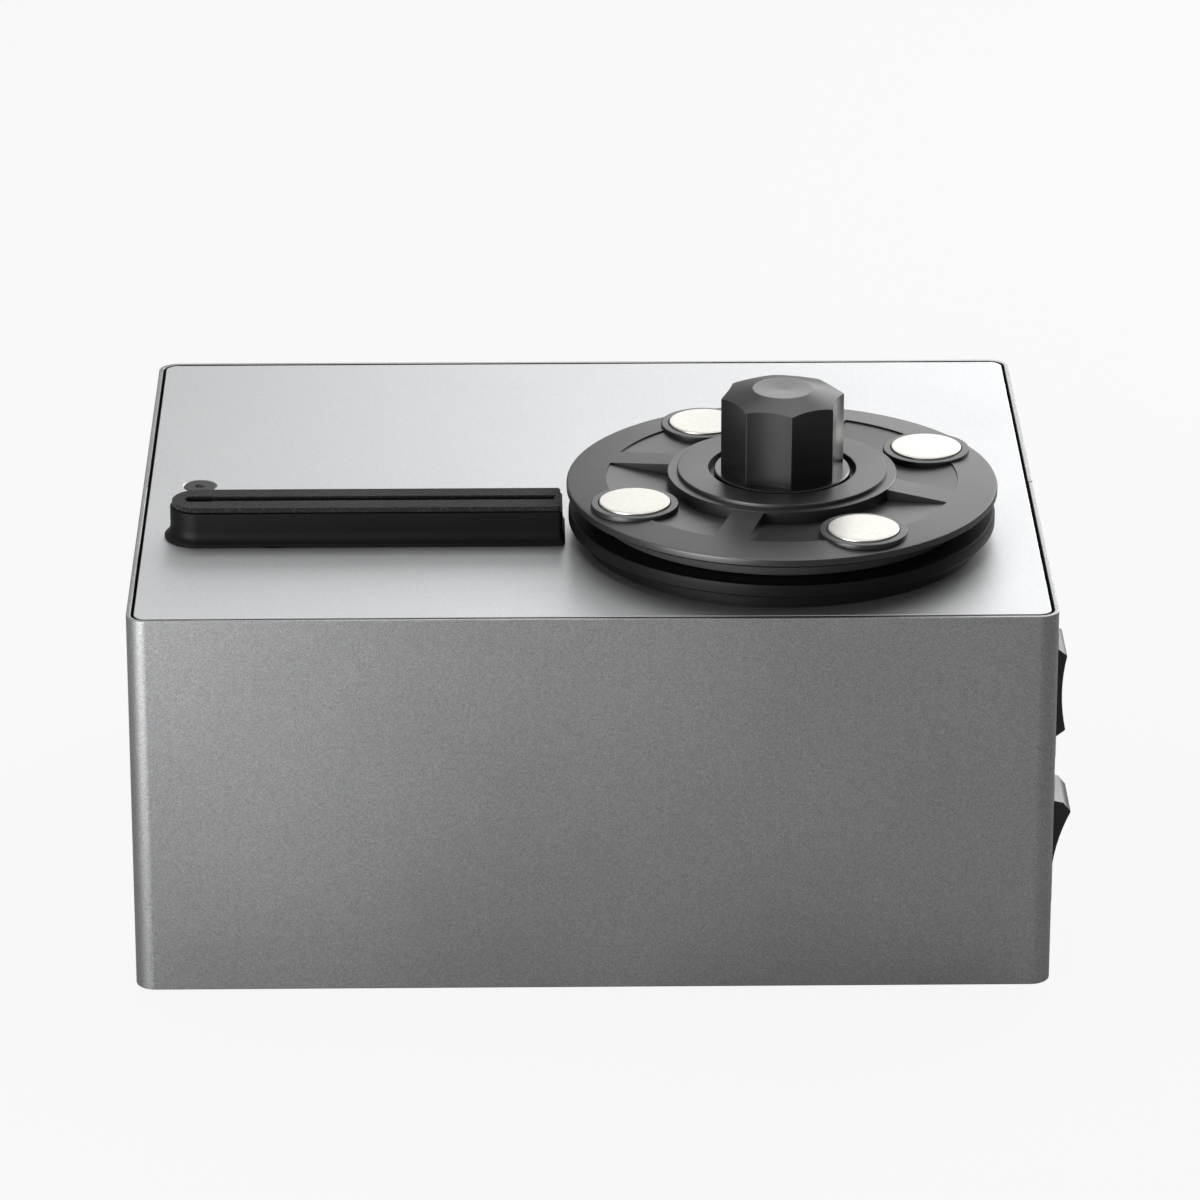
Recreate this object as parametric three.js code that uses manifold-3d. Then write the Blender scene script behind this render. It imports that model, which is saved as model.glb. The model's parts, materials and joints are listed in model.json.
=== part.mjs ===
import * as THREE from 'three';
import { mergeVertices } from 'three/addons/utils/BufferGeometryUtils.js';
import Module from 'manifold-3d';

const wasm = await Module();
wasm.setup();

// Lengths are in millimetres. X runs to the right, Y to the back and Z up from the floor.
// Names that end in Angle are degrees, and names that end in Count or Sides are plain numbers.

// Fits that every piece shares
const seatGap = 0.2;
const runGap = 0.4;
const cutOverrun = 3;
const weldDistance = 0.0001;
const fineSides = 48;
const middleSides = 32;
const smallSides = 20;
const tinySides = 12;
const hexSides = 6;
const cornerStepCount = 4;

// Housing
const armLeftMargin = 8.7;
const clampRightMargin = 12;
const clampFrontMargin = 2.7;
const rearBayDepth = 72.3;
const switchTopMargin = 12.75;
const switchBottomMargin = 13.15;
const switchBezelGap = 5.1;
const housingWall = 1.2;
const housingCornerRadius = 5;
const housingSeam = 0.3;
const deckThickness = 3;
const deckLine = 0.7;
const basePlateThickness = 2;
const footHeight = 4;
const footDiameter = 16;
const footTaper = 1;
const footInset = 28;

// Brackets that join the two shells, and the rails under the top plate
const bracketLength = 40;
const bracketEdge = 5.7;
const bracketThickness = 2;
const railInset = 15;
const railDrop = 12;
const railThickness = 2;

// Screws of the top plate and the base plate
const screwInset = 14.7;
const screwHeadDiameter = 8.4;
const screwDiameter = 4;
const screwLength = 12;
const screwSocketWidth = 2.5;
const screwSocketDepth = 1.8;

// Platter bearing, with heights counted from the top of the deck
const collarInset = 3.5;
const collarHeight = 3.6;
const collarBevel = 0.8;
const bearingHubWall = 3;
const bearingHubDepth = 25;
const bearingDiameter = 22;
const bearingWidth = 7;
const bearingShoulder = 1.5;

// Platter and its spindle
const platterInset = 0.5;
const platterThickness = 3.5;
const platterBevel = 0.9;
const spindleShaftDiameter = 7.6;
const spindleTipDiameter = 7.1;
const spindleTipBevel = 1;
const spindleFlangeDiameter = 23;
const spindleFlangeThickness = 1.4;
const spindleReach = 3.3;
const sealInset = 6;
const recordSealWidth = 5;
const platterSealHeight = 2.5;

// Gear motor under the platter
const couplingDiameter = 18;
const couplingLength = 12;
const motorMountWall = 6.5;
const couplingGap = 1.6;
const motorMountWindowWidth = 14;
const motorMountWindowHeight = 9;
const gearboxRadius = 18.5;
const gearboxLength = 22;
const platterMotorRadius = 17;
const motorFloorGap = 2.6;
const motorBossDiameter = 12;
const motorBossHeight = 4;
const motorShaftDiameter = 6;
const motorShaftDepth = 3;

// Record clamp, with heights counted from the top of the deck
const clampRadius = 54.5;
const clampRestGap = 0.3;
const clampRimThickness = 2.2;
const clampRimBevel = 0.5;
const clampSpokeRise = 2.3;
const clampStepRadius = 29;
const clampStepHeight = 4.8;
const clampStepWidth = 2.5;
const clampHubHeight = 5.8;
const clampHubBevel = 0.4;
const knobSkirtClearance = 1.4;
const clampWebThickness = 2;
const clipClearance = 3;
const clampRecessDepth = 1.2;
const clampPocketInset = 10;
const clampPocketFloor = 1.8;
const clampSpokeWidth = 8;
const clampSpokeCount = 4;
const clampSpokeAngle = 71;
const clampSealHeight = 1.6;
const magnetInset = 12.5;
const magnetFirstAngle = 26.4;
const magnetDiameter = 18;
const magnetThickness = 3.2;
const magnetFloor = 0.8;
const magnetBevel = 0.4;
const magnetBossLip = 2;
const magnetProud = 0.5;

// Clamp knob, with heights counted from the top of the deck
const knobRidgeRadius = 15.7;
const knobFluteDepth = 1.8;
const knobFluteCount = 8;
const knobFluteStepCount = 6;
const knobFirstRidgeAngle = -83.5;
const knobGripHeight = 21.2;
const knobCrownRise = 2.2;
const knobTopRadius = 7.5;
const knobTopDish = 0.5;
const knobSkirtLip = 1.5;
const knobSkirtHeight = 2;
const knobNeckRadius = 9;
const knobNeckLength = 4.2;
const knobGrooveDepth = 1;
const knobNeckWall = 1;
const insertLength = 12;
const clipLip = 3;
const clipThickness = 0.6;

// Suction arm, with lengths counted outwards from the platter's axis
const armWidth = 14.4;
const armInnerGap = 1;
const armEndWall = 3.8;
const armInnerCorner = 1;
const armFootFlare = 1.55;
const armFootRim = 1.2;
const armFootHeight = 4;
const armSlotWidth = 2.2;
const armSlotInnerWall = 2;
const armSlotOuter = 151;
const armSlotRecessWidth = 3;
const armSlotRecessLength = 7;
const armChannelWidth = 8;
const armChannelHeight = 5;
const armFloor = 1.6;
const armStubInset = 26.3;
const armStubWall = 2.5;
const armStubLength = 14;
const armSealDrop = 8;
const armSealHeight = 1.8;
const armSealDepth = 1.2;
const velvetThickness = 1.2;
const velvetInset = 0.9;
const armPortWall = 1.6;
const armPortFlange = 4;
const armPortFlangeThickness = 2;
const armPortReach = 2.4;
const armPortClearance = 1;

// Tank for the used liquid
const tankWall = 2;
const tankFrontMargin = 15.2;
const tankWidth = 62;
const tankRearGap = 8;
const tankLidThickness = 3;
const turretInset = 15;
const turretRadius = 10;
const turretWall = 3;
const turretHeadroom = 3;
const turretCap = 1.5;
const neckRadius = 6.5;
const neckWall = 1.5;
const neckLength = 13;
const hoseWall = 1.8;
const hoseLift = 2.1;
const drainRise = 0.3;
const drainFittingRadius = 6.5;
const drainHeadLip = 1.3;
const drainFittingWall = 1.2;
const drainHeadThickness = 2.6;
const drainPlugLength = 8;
const drainCoinSlotWidth = 1.4;
const drainCoinSlotDepth = 1.2;

// Suction fan
const fanOffset = 18.5;
const fanRearGap = 8.8;
const fanMotorRadius = 32;
const fanMountHeight = 2.8;
const fanMountWidth = 6;
const fanHousingRadius = 42;
const fanHousingHeight = 36;
const fanWall = 2;
const fanCoverThickness = 2.5;
const fanTurretRadius = 13;
const fanTurretWall = 3;
const fanOutletWidth = 26;
const fanOutletHeight = 24;
const fanShaftRadius = 3;
const fanShaftDepth = 6;
const impellerClearance = 4;
const impellerPlate = 2;
const impellerHubRadius = 8;
const impellerHeight = 22;
const impellerBladeCount = 8;
const impellerBladeThickness = 1.4;
const impellerBladeInner = 14;
const impellerBladeLeanAngle = 25;
const ventSlotCount = 6;
const ventSlotWidth = 2.4;
const ventSlotHeight = 22;
const ventSlotPitch = 4.2;

// Rocker switches on the right wall
const switchInset = 31.2;
const switchBezelWidth = 21.5;
const switchBezelHeight = 34.5;
const switchBezelProud = 1.5;
const switchBezelCorner = 1;
const switchBezelSideLip = 0.65;
const switchBezelEndLip = 1.75;
const switchBodyDepth = 20;
const rockerSideWall = 1.3;
const rockerEndMargin = 5.35;
const rockerEndFlare = 1.9;
const rockerProud = 4;
const rockerHollow = 1.1;
const rockerPivotDepth = 8;
const rockerHubRadius = 4;
const rockerTiltAngle = 13.5;
const rockerFaceStepCount = 8;

// Mains inlet in the rear wall, with its fuse drawer
const inletCornerGap = 2.8;
const inletRise = 44;
const inletWidth = 30;
const inletBodyHeight = 34;
const inletDepth = 26;
const inletFlange = 4;
const inletFlangeThickness = 2;
const socketWidth = 24;
const socketHeight = 15.6;
const socketCorner = 2;
const socketDepth = 17;
const socketRise = 6.6;
const pinWidth = 2;
const pinHeight = 4;
const pinLength = 14;
const pinSpacing = 14;
const earthPinRise = 2.5;
const drawerWidth = 20;
const drawerHeight = 8;
const drawerLength = 18;
const drawerDrop = 9.6;
const drawerLipWidth = 10;
const drawerLipHeight = 2;

// Power board and leads
const boardSideGap = 14.5;
const boardInset = 39;
const boardWidth = 30;
const boardDepth = 50;
const boardThickness = 1.6;
const boardPostHeight = 4;
const boardPostRadius = 3;
const boardPostInset = 4;
const transformerWidth = 18;
const transformerDepth = 20;
const transformerHeight = 11;
const capacitorRadius = 4.5;
const capacitorHeight = 6.5;
const capacitorSpacing = 11;
const leadRadius = 2;
const leadBend = 10;
const leadRunHeight = 16;
const loomStandoff = 9;
const leadSides = 8;
const leadStepCount = 14;

// Platter, clamp and knob sizes that follow from the sizes above
const platterRadius = clampRadius - platterInset;
const collarRadius = platterRadius - collarInset;
const recordSealRadius = platterRadius - sealInset;
const bearingHubRadius = bearingDiameter / 2 + bearingHubWall;
const bearingBore = spindleShaftDiameter + 2 * seatGap;
const motorMountLength = runGap + couplingLength + couplingGap + motorBossHeight;
const platterRunHeight = collarHeight + runGap;
const recordPlane = platterRunHeight + platterThickness + platterSealHeight;
const clampUnderside = recordPlane + clampRestGap + clampSealHeight + seatGap;
const clampHubRadius = clampStepRadius - clampStepWidth;
const clampPocketRadius = clampRadius - clampPocketInset;
const magnetCircleRadius = clampRadius - magnetInset;
const magnetTop = magnetFloor + seatGap + magnetThickness;
const magnetBossRadius = magnetDiameter / 2 + magnetBossLip;
const magnetBossHeight = magnetTop - magnetProud;
const knobFluteRadius = knobRidgeRadius - knobFluteDepth;
const knobSkirtRadius = knobRidgeRadius + knobSkirtLip;
const knobBoreRadius = knobNeckRadius - knobGrooveDepth - knobNeckWall;
const clampHoleRadius = knobSkirtRadius + knobSkirtClearance;
const clipRadius = knobNeckRadius + clipLip;
const clampRecessRadius = clipRadius + clipClearance;
const knobShoulderHeight = knobSkirtBottom() + knobGripHeight;
const knobTopHeight = knobShoulderHeight + knobCrownRise;
const spindleTop = insertTop() + spindleReach;

// Arm sizes that follow from the sizes above
const armBarHeight = recordPlane - velvetThickness - seatGap;
const armOuterEnd = armSlotOuter + armEndWall;
const armInnerEnd = clampRadius + armInnerGap;
const armSlotInner = armInnerEnd + armSlotInnerWall;
const armStubDistance = armOuterEnd - armStubInset;
const armStubRadius = armWidth / 2 - seatGap;
const armStubBore = armStubRadius - armStubWall;

// The box is as wide and deep as the arm and the clamp need, and as high as its two switches need
const housingWidth = armLeftMargin + armOuterEnd + clampRadius + clampRightMargin;
const housingDepth = clampFrontMargin + 2 * clampRadius + rearBayDepth;
const housingHeight = switchTopMargin + 2 * switchBezelHeight + switchBezelGap + switchBottomMargin;
const wallBottom = footHeight;
const deckTop = wallBottom + housingHeight;
const deckUnderside = deckTop - deckThickness;
const innerHalfWidth = housingWidth / 2 - housingWall;
const innerHalfDepth = housingDepth / 2 - housingWall;
const baseTop = wallBottom + basePlateThickness;
const floorLevel = baseTop + seatGap;
const screwX = housingWidth / 2 - screwInset;
const railLength = housingWidth - 2 * railInset;
const bracketReach = screwInset - housingWall - seatGap + bracketEdge;

// Places inside the box
const platterX = armLeftMargin + armOuterEnd - housingWidth / 2;
const platterY = clampFrontMargin + clampRadius - housingDepth / 2;
const platterMotorLength = deckTop + gearboxTop() - gearboxLength - motorFloorGap - floorLevel;
const hoseAxisHeight = deckUnderside - turretHeadroom - turretCap - neckRadius;
const turretTop = hoseAxisHeight + neckRadius + turretCap;
const lidTop = hoseAxisHeight - neckRadius - seatGap - hoseWall - hoseLift;
const tankHeight = lidTop - tankLidThickness - seatGap - floorLevel;
const armPortLength = deckTop - lidTop + tankLidThickness + armPortReach;
const tankLeft = portX() - armPortRadius() - armPortClearance - tankWall;
const tankFront = platterY - tankFrontMargin;
const tankDepth = housingDepth / 2 - tankRearGap - tankFront;
const turretX = tankLeft + tankWidth - turretInset;
const turretBore = turretRadius - turretWall;
const neckBore = neckRadius - neckWall;
const drainX = tankLeft + tankWidth / 2;
const drainHeight = floorLevel + tankWall + drainFittingRadius + drainRise;
const drainHeadRadius = drainFittingRadius - drainFittingWall;
const drainPlugRadius = drainHeadRadius - drainHeadLip;
const fanX = platterX - fanOffset;
const hoseY = innerHalfDepth - fanRearGap - fanHousingRadius;
const fanMotorHeight = lidTop - fanCoverThickness - 2 * seatGap - fanHousingHeight - fanMotorBottom();
const impellerRadius = fanHousingRadius - fanWall - impellerClearance;

// Switches, inlet and board
const switchY = switchInset - housingDepth / 2;
const vacuumSwitchHeight = switchBottomMargin + switchBezelHeight / 2;
const directionSwitchHeight = vacuumSwitchHeight + switchBezelHeight + switchBezelGap;
const switchBodyWidth = switchBezelWidth - 2 * switchBezelSideLip;
const switchBodyHeight = switchBezelHeight - 2 * switchBezelEndLip;
const rockerWidth = switchBodyWidth - 2 * rockerSideWall;
const rockerTipSpacing = switchBodyHeight - 2 * rockerEndMargin;
const rockerSwing = rad(rockerTiltAngle);
const rockerFace = rockerPivotDepth + rockerProud;
const rightReach =
  rockerFace * Math.cos(rockerSwing) + (rockerTipSpacing / 2) * Math.sin(rockerSwing) - rockerPivotDepth;
const inletX = innerHalfWidth - inletCornerGap - inletFlange - inletWidth / 2;
const inletHeight = wallBottom + inletRise;
const boardX = housingWidth / 2 - boardSideGap - boardWidth / 2;
const boardY = boardInset - housingDepth / 2;

// Materials
function material(color, roughness, metalness) {
  return new THREE.MeshStandardMaterial({ color, roughness, metalness });
}

const satinAluminium = material(0xb4b6b9, 0.42, 0.9);
const deckAluminium = material(0xc8cacd, 0.38, 0.9);
const blackPlastic = material(0x1c1d20, 0.45, 0);
const clampPlastic = material(0x26282c, 0.42, 0);
const blackVelvet = material(0x0d0d10, 0.95, 0);
const blackRubber = material(0x151517, 0.8, 0);
const nickel = material(0xdedcd4, 0.25, 0.95);
const stainlessSteel = material(0xa9acb0, 0.3, 0.95);
const blackSteel = material(0x1f2022, 0.4, 0.7);
const zincSteel = material(0x9da1a5, 0.45, 0.85);
const brass = material(0xb0873f, 0.35, 0.9);
const clearTankPlastic = material(0xd5d8d6, 0.35, 0);
const whitePlastic = material(0xe2e1dc, 0.5, 0);
const boardGreen = material(0x24603a, 0.55, 0);
const leadBlack = material(0x101012, 0.6, 0);

function rad(degrees) {
  return (degrees * Math.PI) / 180;
}

// Joins and cuts
function toSolid(geometry) {
  const bare = geometry.clone();
  bare.deleteAttribute('normal');
  bare.deleteAttribute('uv');
  const merged = mergeVertices(bare, weldDistance);
  return new wasm.Manifold(
    new wasm.Mesh({
      numProp: 3,
      vertProperties: Float32Array.from(merged.attributes.position.array),
      triVerts: Uint32Array.from(merged.index.array),
    })
  );
}

function toGeometry(solid) {
  const mesh = solid.getMesh();
  const geometry = new THREE.BufferGeometry();
  geometry.setAttribute('position', new THREE.BufferAttribute(Float32Array.from(mesh.vertProperties), 3));
  geometry.setIndex(new THREE.BufferAttribute(Uint32Array.from(mesh.triVerts), 1));
  geometry.computeVertexNormals();
  return geometry;
}

function join(...geometries) {
  const [first, ...others] = geometries;
  const total = others.reduce((sum, geometry) => sum.add(toSolid(geometry)), toSolid(first));
  return toGeometry(total);
}

function cut(geometry, ...tools) {
  const rest = tools.reduce((left, tool) => left.subtract(toSolid(tool)), toSolid(geometry));
  return toGeometry(rest);
}

function common(first, second) {
  return toGeometry(toSolid(first).intersect(toSolid(second)));
}

// Basic shapes, each standing on its lower face
function block(width, depth, height, x = 0, y = 0, bottom = 0) {
  return new THREE.BoxGeometry(width, depth, height).translate(x, y, bottom + height / 2);
}

function cylinder(radius, height, sides, x = 0, y = 0, bottom = 0) {
  return new THREE.CylinderGeometry(radius, radius, height, sides)
    .rotateX(Math.PI / 2)
    .translate(x, y, bottom + height / 2);
}

function turned(points, sides) {
  const profile = points.map(([radius, height]) => new THREE.Vector2(radius, height));
  profile.push(profile[0].clone());
  return new THREE.LatheGeometry(profile, sides).rotateX(Math.PI / 2);
}

function ring(outerRadius, innerRadius, bottom, height, sides, bevel = 0) {
  const top = bottom + height;
  const points = [[innerRadius, bottom]];
  points.push([outerRadius - bevel, bottom]);
  if (bevel > 0) {
    points.push([outerRadius, bottom + bevel]);
    points.push([outerRadius, top - bevel]);
  }
  points.push([outerRadius - bevel, top]);
  points.push([innerRadius, top]);
  return turned(points, sides);
}

function extruded(shape, height, bottom = 0) {
  return new THREE.ExtrudeGeometry(shape, {
    depth: height,
    bevelEnabled: false,
    curveSegments: cornerStepCount,
  }).translate(0, 0, bottom);
}

function roundedRectangle(width, depth, radius) {
  const x = width / 2;
  const y = depth / 2;
  const shape = new THREE.Shape();
  shape.moveTo(-x + radius, -y);
  shape.lineTo(x - radius, -y);
  shape.absarc(x - radius, -y + radius, radius, -Math.PI / 2, 0, false);
  shape.absarc(x - radius, y - radius, radius, 0, Math.PI / 2, false);
  shape.absarc(-x + radius, y - radius, radius, Math.PI / 2, Math.PI, false);
  shape.absarc(-x + radius, -y + radius, radius, Math.PI, 1.5 * Math.PI, false);
  return shape;
}

function tube(points, radius) {
  const path = new THREE.CatmullRomCurve3(points.map(([x, y, z]) => new THREE.Vector3(x, y, z)));
  const section = new THREE.Shape();
  for (let i = 0; i < leadSides; i += 1) {
    const turn = (2 * Math.PI * i) / leadSides;
    const corner = [radius * Math.cos(turn), radius * Math.sin(turn)];
    if (i === 0) section.moveTo(...corner);
    else section.lineTo(...corner);
  }
  return new THREE.ExtrudeGeometry(section, { steps: leadStepCount, extrudePath: path });
}

function alongX(geometry) {
  return geometry.rotateY(Math.PI / 2);
}

function alongY(geometry) {
  return geometry.rotateX(-Math.PI / 2);
}

function piece(name, geometry, surface, x = 0, y = 0, z = 0) {
  const mesh = new THREE.Mesh(geometry, surface);
  mesh.name = name;
  mesh.position.set(x, y, z);
  return mesh;
}

// Housing
function shellGeometry(side) {
  const outer = extruded(roundedRectangle(housingWidth, housingDepth, housingCornerRadius), housingHeight);
  const hollow = extruded(
    roundedRectangle(2 * innerHalfWidth, 2 * innerHalfDepth, housingCornerRadius - housingWall),
    housingHeight + 2 * cutOverrun,
    -cutOverrun
  );
  const kept = block(
    housingWidth + 2 * cutOverrun,
    housingDepth,
    housingHeight + 2 * cutOverrun,
    0,
    side * (housingDepth / 2 + housingSeam / 2),
    -cutOverrun
  );
  return common(cut(outer, hollow), kept);
}

function switchOpening(height) {
  return block(
    housingWall + 2 * cutOverrun,
    switchBodyWidth + 2 * seatGap,
    switchBodyHeight + 2 * seatGap,
    housingWidth / 2,
    switchY,
    height - switchBodyHeight / 2 - seatGap
  );
}

function frontShell() {
  const geometry = cut(
    shellGeometry(-1),
    switchOpening(directionSwitchHeight),
    switchOpening(vacuumSwitchHeight)
  );
  return piece('front_shell', geometry, satinAluminium, 0, 0, wallBottom);
}

function ventSlots() {
  const slots = [];
  for (let i = 0; i < ventSlotCount; i += 1) {
    const x = fanX + (i - (ventSlotCount - 1) / 2) * ventSlotPitch;
    const bottom = fanOutletMiddle() - ventSlotHeight / 2 - wallBottom;
    slots.push(
      block(ventSlotWidth, housingWall + 2 * cutOverrun, ventSlotHeight, x, housingDepth / 2, bottom)
    );
  }
  return slots;
}

function rearShell() {
  const inletHole = block(
    inletWidth + 2 * seatGap,
    housingWall + 2 * cutOverrun,
    inletBodyHeight + 2 * seatGap,
    inletX,
    housingDepth / 2,
    inletHeight - inletBodyHeight / 2 - seatGap - wallBottom
  );
  const drainHole = alongY(
    cylinder(drainFittingRadius + seatGap, housingWall + 2 * cutOverrun, tinySides)
  ).translate(drainX, housingDepth / 2 - housingWall - cutOverrun, drainHeight - wallBottom);
  const geometry = cut(shellGeometry(1), inletHole, drainHole, ...ventSlots());
  return piece('rear_shell', geometry, satinAluminium, 0, 0, wallBottom);
}

function countersink() {
  const headHeight = (screwHeadDiameter - screwDiameter) / 2;
  const wide = screwHeadDiameter / 2 + seatGap;
  const narrow = screwDiameter / 2 + seatGap;
  return turned(
    [
      [0, -deckThickness - cutOverrun],
      [narrow, -deckThickness - cutOverrun],
      [narrow, -headHeight],
      [wide, 0],
      [wide, cutOverrun],
      [0, cutOverrun],
    ],
    tinySides
  );
}

function topPlate() {
  const plate = extruded(
    roundedRectangle(
      2 * (innerHalfWidth - deckLine),
      2 * (innerHalfDepth - deckLine),
      housingCornerRadius - housingWall - deckLine
    ),
    deckThickness,
    -deckThickness
  );
  const holeHeight = deckThickness + 2 * cutOverrun;
  const holeBottom = -deckThickness - cutOverrun;
  const hubRadius = bearingHubRadius + seatGap;
  const hubHole = cylinder(hubRadius, holeHeight, middleSides, platterX, platterY, holeBottom);
  const portRadius = armPortRadius() + seatGap;
  const portHole = cylinder(portRadius, holeHeight, smallSides, portX(), platterY, holeBottom);
  const geometry = cut(
    plate,
    hubHole,
    portHole,
    countersink().translate(-screwX, 0, 0),
    countersink().translate(screwX, 0, 0)
  );
  return piece('top_plate', geometry, deckAluminium, 0, 0, deckTop);
}

function basePlate() {
  const plate = extruded(
    roundedRectangle(
      2 * (innerHalfWidth - seatGap),
      2 * (innerHalfDepth - seatGap),
      housingCornerRadius - housingWall
    ),
    basePlateThickness
  );
  const hole = () => countersink().rotateX(Math.PI);
  const geometry = cut(
    plate,
    hole().translate(-screwX, 0, 0),
    hole().translate(screwX, 0, 0)
  );
  return piece('base_plate', geometry, zincSteel, 0, 0, wallBottom);
}

function jointBracket(name, side) {
  const bottom = floorLevel;
  const height = deckUnderside - seatGap - bottom;
  const wallFace = innerHalfWidth - seatGap;
  const web = block(
    bracketThickness,
    bracketLength,
    height,
    side * (wallFace - bracketThickness / 2),
    0,
    0
  );
  const flangeX = side * (wallFace - bracketReach / 2);
  const lower = block(bracketReach, bracketLength, bracketThickness, flangeX, 0, 0);
  const upper = block(bracketReach, bracketLength, bracketThickness, flangeX, 0, height - bracketThickness);
  const hole = cylinder(
    screwDiameter / 2 + seatGap,
    height + 2 * cutOverrun,
    tinySides,
    side * screwX,
    0,
    -cutOverrun
  );
  return piece(name, cut(join(web, lower, upper), hole), zincSteel, 0, 0, bottom);
}

function deckRail(name, side) {
  const top = deckUnderside - seatGap;
  const wallFace = innerHalfDepth - seatGap;
  const upright = block(
    railLength,
    railThickness,
    railDrop,
    0,
    side * (wallFace - railThickness / 2),
    -railDrop
  );
  const ledgeY = side * (wallFace - railDrop / 2);
  const ledge = block(railLength, railDrop, railThickness, 0, ledgeY, -railThickness);
  return piece(name, join(upright, ledge), zincSteel, 0, 0, top);
}

function countersunkScrew() {
  const headHeight = (screwHeadDiameter - screwDiameter) / 2;
  const body = turned(
    [
      [0, -screwLength],
      [screwDiameter / 2, -screwLength],
      [screwDiameter / 2, -headHeight],
      [screwHeadDiameter / 2, 0],
      [0, 0],
    ],
    tinySides
  );
  const socketRadius = screwSocketWidth / (2 * Math.cos(Math.PI / hexSides));
  const socket = cylinder(socketRadius, screwSocketDepth + cutOverrun, hexSides, 0, 0, -screwSocketDepth);
  return cut(body, socket);
}

function housingScrews() {
  const screws = [];
  for (const [side, word, surface] of [
    [-1, 'left', blackSteel],
    [1, 'right', stainlessSteel],
  ]) {
    const x = side * screwX;
    screws.push(piece(`top_screw_${word}`, countersunkScrew(), surface, x, 0, deckTop));
    const upward = countersunkScrew().rotateX(Math.PI);
    screws.push(piece(`base_screw_${word}`, upward, zincSteel, x, 0, wallBottom));
  }
  return screws;
}

function feet() {
  const all = [];
  for (const [sideX, wordX] of [
    [-1, 'left'],
    [1, 'right'],
  ]) {
    for (const [sideY, wordY] of [
      [-1, 'front'],
      [1, 'rear'],
    ]) {
      const pad = turned(
        [
          [0, 0],
          [footDiameter / 2 - footTaper, 0],
          [footDiameter / 2, footTaper],
          [footDiameter / 2, footHeight - seatGap],
          [0, footHeight - seatGap],
        ],
        tinySides
      );
      const x = sideX * (housingWidth / 2 - footInset);
      const y = sideY * (housingDepth / 2 - footInset);
      all.push(piece(`foot_${wordY}_${wordX}`, pad, blackRubber, x, y, 0));
    }
  }
  return all;
}

// Platter, its bearing and its motor, with heights from the deck
function platterCollar() {
  const bore = bearingDiameter / 2 + seatGap;
  const shoulder = bearingDiameter / 2 - bearingShoulder;
  const upperSeat = collarHeight - bearingWidth;
  const lowerSeat = -bearingHubDepth + bearingWidth;
  return turned(
    [
      [bore, collarHeight],
      [bore, upperSeat],
      [shoulder, upperSeat],
      [shoulder, lowerSeat],
      [bore, lowerSeat],
      [bore, -bearingHubDepth],
      [bearingHubRadius, -bearingHubDepth],
      [bearingHubRadius, seatGap],
      [collarRadius, seatGap],
      [collarRadius, collarHeight - collarBevel],
      [collarRadius - collarBevel, collarHeight],
    ],
    fineSides
  );
}

function bearing(bottom) {
  return ring(
    bearingDiameter / 2,
    bearingBore / 2,
    bottom,
    bearingWidth - seatGap,
    tinySides
  );
}

function spindle() {
  const shaft = spindleShaftDiameter / 2;
  const tip = spindleTipDiameter / 2;
  const flange = spindleFlangeDiameter / 2;
  const flangeTop = platterRunHeight + spindleFlangeThickness;
  return turned(
    [
      [0, couplingMiddle() + seatGap],
      [shaft, couplingMiddle() + seatGap],
      [shaft, platterRunHeight],
      [flange, platterRunHeight],
      [flange, flangeTop],
      [shaft, flangeTop],
      [shaft, platterTop()],
      [tip, platterTop()],
      [tip, spindleTop - spindleTipBevel],
      [tip - spindleTipBevel, spindleTop],
      [0, spindleTop],
    ],
    smallSides
  );
}

function platterTop() {
  return platterRunHeight + platterThickness;
}

function platterDisc() {
  const bore = spindleShaftDiameter / 2 + seatGap;
  const recess = spindleFlangeDiameter / 2 + seatGap;
  const recessTop = platterRunHeight + spindleFlangeThickness + seatGap;
  return turned(
    [
      [bore, recessTop],
      [recess, recessTop],
      [recess, platterRunHeight],
      [platterRadius - platterBevel, platterRunHeight],
      [platterRadius, platterRunHeight + platterBevel],
      [platterRadius, platterTop() - platterBevel],
      [platterRadius - platterBevel, platterTop()],
      [bore, platterTop()],
    ],
    fineSides
  );
}

function couplingTop() {
  return -bearingHubDepth - runGap;
}

function couplingMiddle() {
  return couplingTop() - couplingLength / 2;
}

function shaftCoupling() {
  const upperBore = spindleShaftDiameter / 2 + seatGap;
  const lowerBore = motorShaftDiameter / 2 + seatGap;
  const outer = couplingDiameter / 2;
  const bottom = couplingTop() - couplingLength;
  return turned(
    [
      [lowerBore, bottom],
      [outer, bottom],
      [outer, couplingTop()],
      [upperBore, couplingTop()],
      [upperBore, couplingMiddle()],
      [lowerBore, couplingMiddle()],
    ],
    tinySides
  );
}

function gearboxTop() {
  return -bearingHubDepth - motorMountLength - seatGap;
}

function motorMount() {
  const bottom = -bearingHubDepth - motorMountLength;
  const height = motorMountLength - seatGap;
  const bell = ring(gearboxRadius, gearboxRadius - motorMountWall, bottom, height, smallSides);
  const window = block(
    2 * gearboxRadius + cutOverrun,
    motorMountWindowWidth,
    motorMountWindowHeight,
    gearboxRadius,
    0,
    bottom + (height - motorMountWindowHeight) / 2
  );
  return cut(bell, window);
}

function gearMotor() {
  const shaftHole = motorShaftDiameter / 2 + runGap;
  const boss = motorBossDiameter / 2;
  const top = gearboxTop();
  const gearboxBottom = top - gearboxLength;
  const holeBottom = top - motorShaftDepth - runGap;
  return turned(
    [
      [0, gearboxBottom - platterMotorLength],
      [platterMotorRadius, gearboxBottom - platterMotorLength],
      [platterMotorRadius, gearboxBottom],
      [gearboxRadius, gearboxBottom],
      [gearboxRadius, top],
      [boss, top],
      [boss, top + motorBossHeight],
      [shaftHole, top + motorBossHeight],
      [shaftHole, holeBottom],
      [0, holeBottom],
    ],
    smallSides
  );
}

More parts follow.
